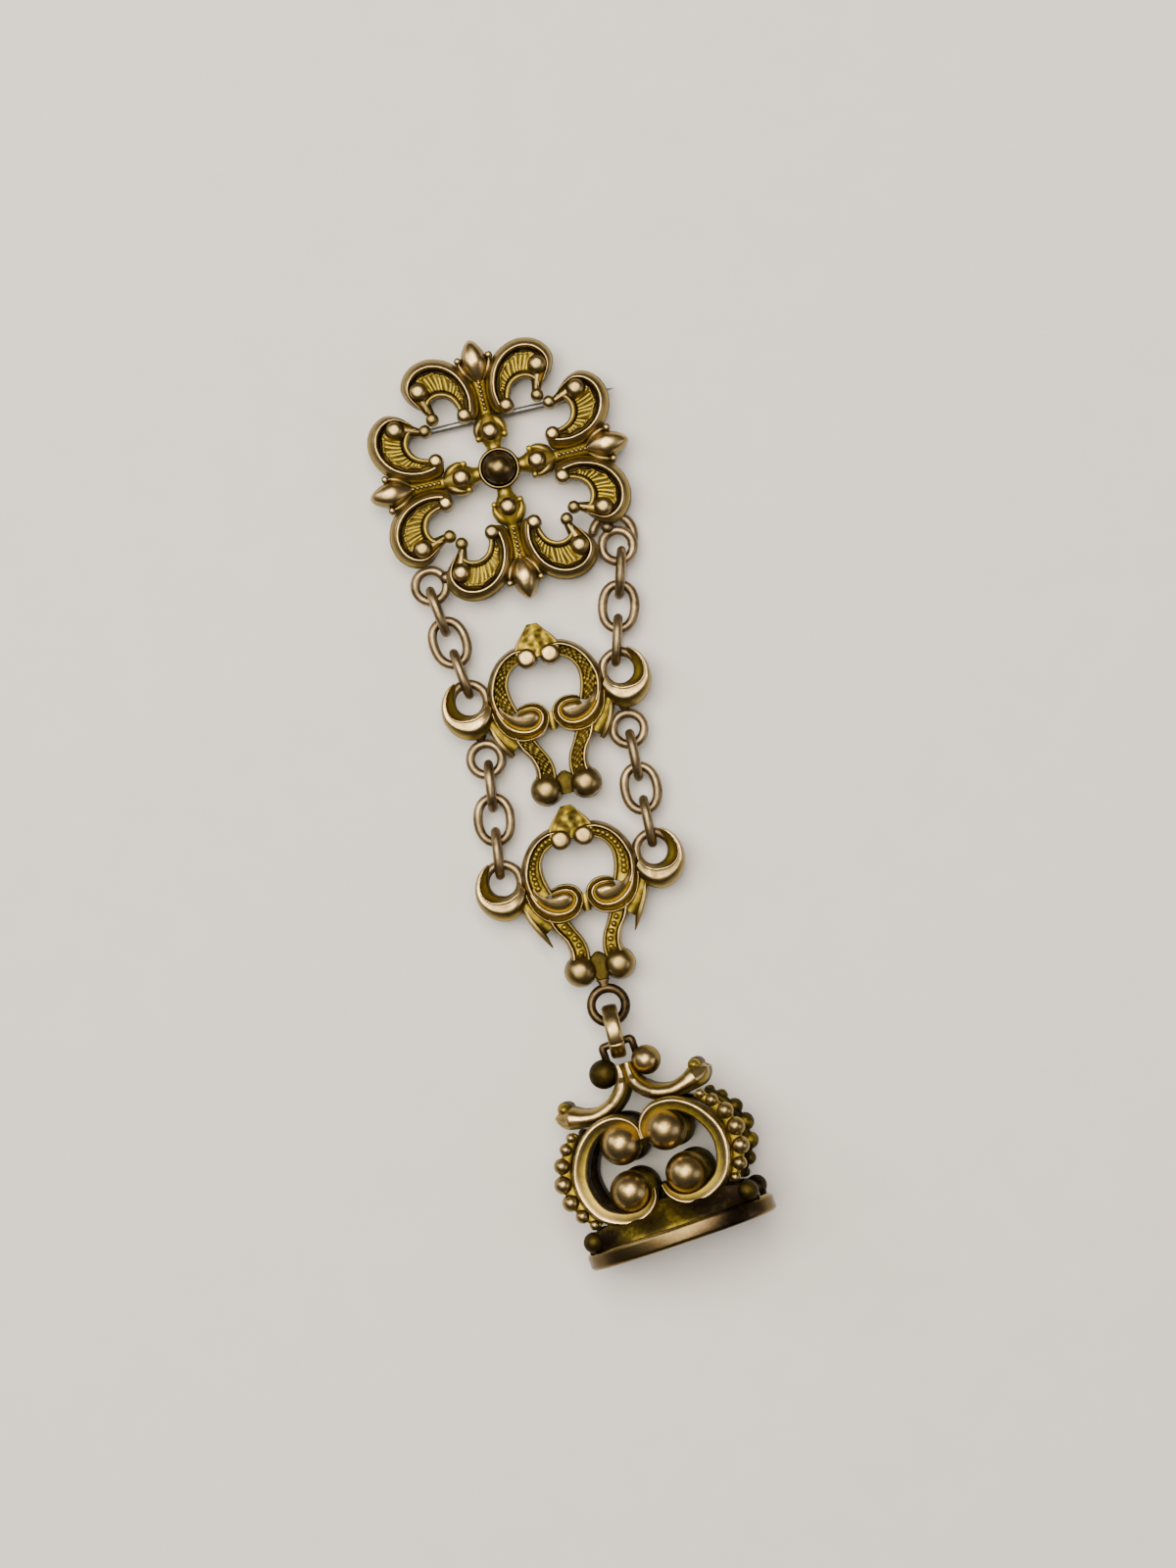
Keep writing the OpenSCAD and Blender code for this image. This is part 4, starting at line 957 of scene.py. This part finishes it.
class FOB_OT_crown(bpy.types.Operator):
    """Makes the seal's crown of two swept straps with their balls and shoulders, and its wire bail"""
    bl_idname = "fob.crown"
    bl_label = "Seal crown and bail"

    def execute(self, context):
        s = spline(STRAP, 12)
        depth = np.interp(s[:, 1], [14.0, 15.8, 17.6, 19.0], [2.6, 2.6, 1.45, 1.15])
        depth = np.maximum(np.minimum(depth, 1.5 + 0.5 * s[:, 0]), 1.1)
        depth = depth * np.interp(s[:, 0], [6.8, 8.3], [1, 0.6])
        # lighter on the front and back, rubbed metal with a painted highlight band, and darker on the sides
        # as painted shade
        face = np.abs(np.sin(np.linspace(0, 2 * PI, 40, endpoint=False)))
        shade = 0.14 + 0.3 * step_up(face, 0.2, 0.7) + 0.4 * step_up(face, 0.8, 0.98)
        strap = swept(s * [1, 1, 0], UPWARDS, s[:, 2], depth, square=2.5, around=40, wear_and_shade=shade[None, :])
        z = np.linspace(-1, 1, 31)
        roll = np.column_stack([0.8 * np.sqrt(np.clip(1 - np.abs(z) ** 3.4, 0.001, 1)), 2.2 * z])
        # the roll is painted darker round its sideways middle as shade, lighter towards its front and back
        shoulder = turned(roll, (7.1, 16.4, 0), around=32, wear_and_shade=0.1 + 0.4 * step_up(np.abs(z), 0.55, 0.95))
        half = [strap, shoulder]
        knob_ball = [ball((*TOP_BALL, 0), 1.52, 24, 36, ball_shade(24, 0.1, 0.9))]
        # the left ball is almost black with tarnish
        parts = half + knob_ball + mirrored(half + toned(knob_ball, 0.1))
        make_seal_piece("seal_crown_casting", parts, "gilt", "seal_crown")
        # one leg of the bail with its rounded corner, then the same mirrored
        corner = [BAIL_HALF - BAIL_BEND, BAIL_Y - BAIL_BEND, 0]
        arch = corner + circle(BAIL_BEND, np.linspace(0, PI / 2, 13))
        arch = np.vstack([[[BAIL_HALF, BAIL_Y - 1.9, 0]], arch])
        arch = np.vstack([arch, arch[::-1] * [-1, 1, 1]])
        # the bail is drawn in the dark wire finish as painted shade, to sit dark between the balls under the
        # jump ring
        bail = swept(arch, UPWARDS, 0.4, 0.46, around=20, wear_and_shade=0.5)
        make_seal_piece("seal_bail_wire", [bail], "dark_wire", "seal_bail")
        return {"FINISHED"}


class FOB_OT_base(bpy.types.Operator):
    """Makes the seal's plain oval base with softened edges"""
    bl_idname = "fob.base"
    bl_label = "Seal base"

    def execute(self, context):
        a = np.linspace(0, 2 * PI, 144, endpoint=False)
        # share of the half axes, height and shade from the middle of the face round the rim and back
        prof = np.array([[0.05, 0, 0.5], [0.7, 0, 0.5], [0.93, 0.0, 0.7], [0.965, 0.04, 0.9],
                         [0.99, 0.2, 0.7], [1.0, 0.45, 0.55], [0.995, 0.9, 0.5], [1.0, 1.4, 0.55],
                         [0.99, 1.66, 0.8], [0.965, 1.84, 1.0], [0.93, 1.9, 0.7], [0.88, 1.86, 0.2],
                         [0.7, 1.84, 0.1], [0.05, 1.84, 0.1]])
        reach, height, shade = prof.T[:, :, None]
        # darker patch on the front rim towards the right end
        patch = np.exp(-(np.angle(np.exp(1j * (a - 0.85))) / 0.34) ** 2)
        shade = shade * (1 - 0.9 * step_up(reach, 0.8, 0.95) * patch)
        grid = np.dstack([BASE_A * reach * np.cos(a), height + 0 * a, BASE_B * reach * np.sin(a)])
        make_seal_piece("seal_base_plate", [skin(grid, shade)], "tarnished", "seal_base")
        return {"FINISHED"}


class FOB_OT_jump_ring(bpy.types.Operator):
    """Makes the flat-strip jump ring with its open cut"""
    bl_idname = "fob.jump_ring"
    bl_label = "Jump ring"

    def execute(self, context):
        mid = JUMP_R - JUMP_T / 2
        half_cut = 0.0625 / mid
        a = np.linspace(half_cut, 2 * PI - half_cut, 90)
        path = np.roll(circle(mid, a), 1, axis=1)
        strip = swept(path, (1, 0, 0), JUMP_T / 2, JUMP_W / 2, square=3, around=28, wear_and_shade=0.8)
        # the cut lies on top, on the seal's side
        parts = moved([strip], turn_about(X, -JUMP_TILT - 210), JUMP_CENTRE)
        make_piece("seal_jump_ring_strip", parts, "gilt", "jump_ring", "seal_jump_ring")
        return {"FINISHED"}


# Stage

# half the side of the floor and its height, a hair below the fob, in metres
FLOOR_HALF, FLOOR_Z = 1.2, -0.00005
# the place that the camera stands over and how high, its roll, and the heights of its film and view
CAMERA_OVER, CAMERA_HEIGHT = (2.05, 0.83), 350
CAMERA_ROLL = np.arctan2(0.2113, 0.9774)
FILM_HEIGHT, VIEW_HEIGHT = 24, 160


class FOB_OT_stage(bpy.types.Operator):
    """Makes the pale floor, the soft studio light and the camera above the fob"""
    bl_idname = "fob.stage"
    bl_label = "Stage"

    def execute(self, context):
        corners = [(x * FLOOR_HALF, y * FLOOR_HALF, FLOOR_Z) for x, y in ((-1, -1), (1, -1), (1, 1), (-1, 1))]
        mesh = bpy.data.meshes.new("floor")
        mesh.from_pydata(corners, [], [(0, 1, 2, 3)])
        mesh.materials.append(finish_for("floor"))
        floor = bpy.data.objects.new("floor", mesh)
        context.scene.collection.objects.link(floor)

        world = bpy.data.worlds.new("studio")
        context.scene.world = world
        world.use_nodes = True
        world.node_tree.nodes["Background"].inputs["Color"].default_value = linear("#C9CCD0")
        world.node_tree.nodes["Background"].inputs["Strength"].default_value = 0.14
        # place, size, strength and colour of each soft lamp, aimed at the middle of the fob
        lamps = (
            ("window", (-0.08, 0.14, 0.6), (0.54, 0.42), 9.2, "#FFF6EA"),
            ("sky", (-0.55, 0.35, 0.45), (0.3, 0.5), 2.2, "#F4F6FF"),
            ("fill", (0.55, -0.2, 0.4), (0.3, 0.4), 1.0, "#F2F0FF"),
        )
        for name, place, size, power, colour in lamps:
            data = bpy.data.lights.new(name, "AREA")
            data.shape = "RECTANGLE"
            data.size, data.size_y = size
            data.energy = power
            data.color = linear(colour)[:3]
            lamp = bpy.data.objects.new(name, data)
            lamp.location = place
            lamp.rotation_euler = (Vector((0, 0, 0)) - lamp.location).to_track_quat("-Z", "Y").to_euler()
            context.scene.collection.objects.link(lamp)

        # straight above, rolled so that the fob hangs from upper left to lower right
        data = bpy.data.cameras.new("camera")
        data.sensor_fit = "VERTICAL"
        data.sensor_height = FILM_HEIGHT
        data.lens = FILM_HEIGHT * CAMERA_HEIGHT / VIEW_HEIGHT
        data.clip_start, data.clip_end = 0.01, 10
        camera = bpy.data.objects.new("camera", data)
        camera.location = np.array([*CAMERA_OVER, 3 + CAMERA_HEIGHT]) * MM
        camera.rotation_euler = (0, 0, -CAMERA_ROLL)
        context.scene.collection.objects.link(camera)
        context.scene.camera = camera
        return {"FINISHED"}


# Panel and registration

PIECES = (FOB_OT_brooch, FOB_OT_centre_bead, FOB_OT_pin_work, FOB_OT_rings, FOB_OT_links, FOB_OT_plaques,
          FOB_OT_jump_ring, FOB_OT_crown, FOB_OT_scroll_frames, FOB_OT_base, FOB_OT_stage)


class FOB_PT_panel(bpy.types.Panel):
    """Sizes, colours and one button for each piece"""
    bl_idname = "FOB_PT_panel"
    bl_label = "Seal Fob"
    bl_space_type = "VIEW_3D"
    bl_region_type = "UI"
    bl_category = "Seal Fob"

    def draw(self, context):
        for group in (context.scene.fob_sizes, context.scene.fob_colours):
            box = self.layout.box()
            for key in group.bl_rna.properties.keys():
                if key not in ("rna_type", "name"):
                    box.prop(group, key)
        for piece in PIECES:
            self.layout.operator(piece.bl_idname)


CLASSES = (FobSizes, FobColours, *PIECES, FOB_PT_panel)


def register():
    for cls in CLASSES:
        bpy.utils.register_class(cls)
    bpy.types.Scene.fob_sizes = bpy.props.PointerProperty(type=FobSizes)
    bpy.types.Scene.fob_colours = bpy.props.PointerProperty(type=FobColours)


def unregister():
    del bpy.types.Scene.fob_colours
    del bpy.types.Scene.fob_sizes
    for cls in reversed(CLASSES):
        bpy.utils.unregister_class(cls)


def main():
    """Makes every piece in turn."""
    register()
    for piece in PIECES:
        group, action = piece.bl_idname.split(".")
        getattr(getattr(bpy.ops, group), action)()


if __name__ == "__main__":
    main()
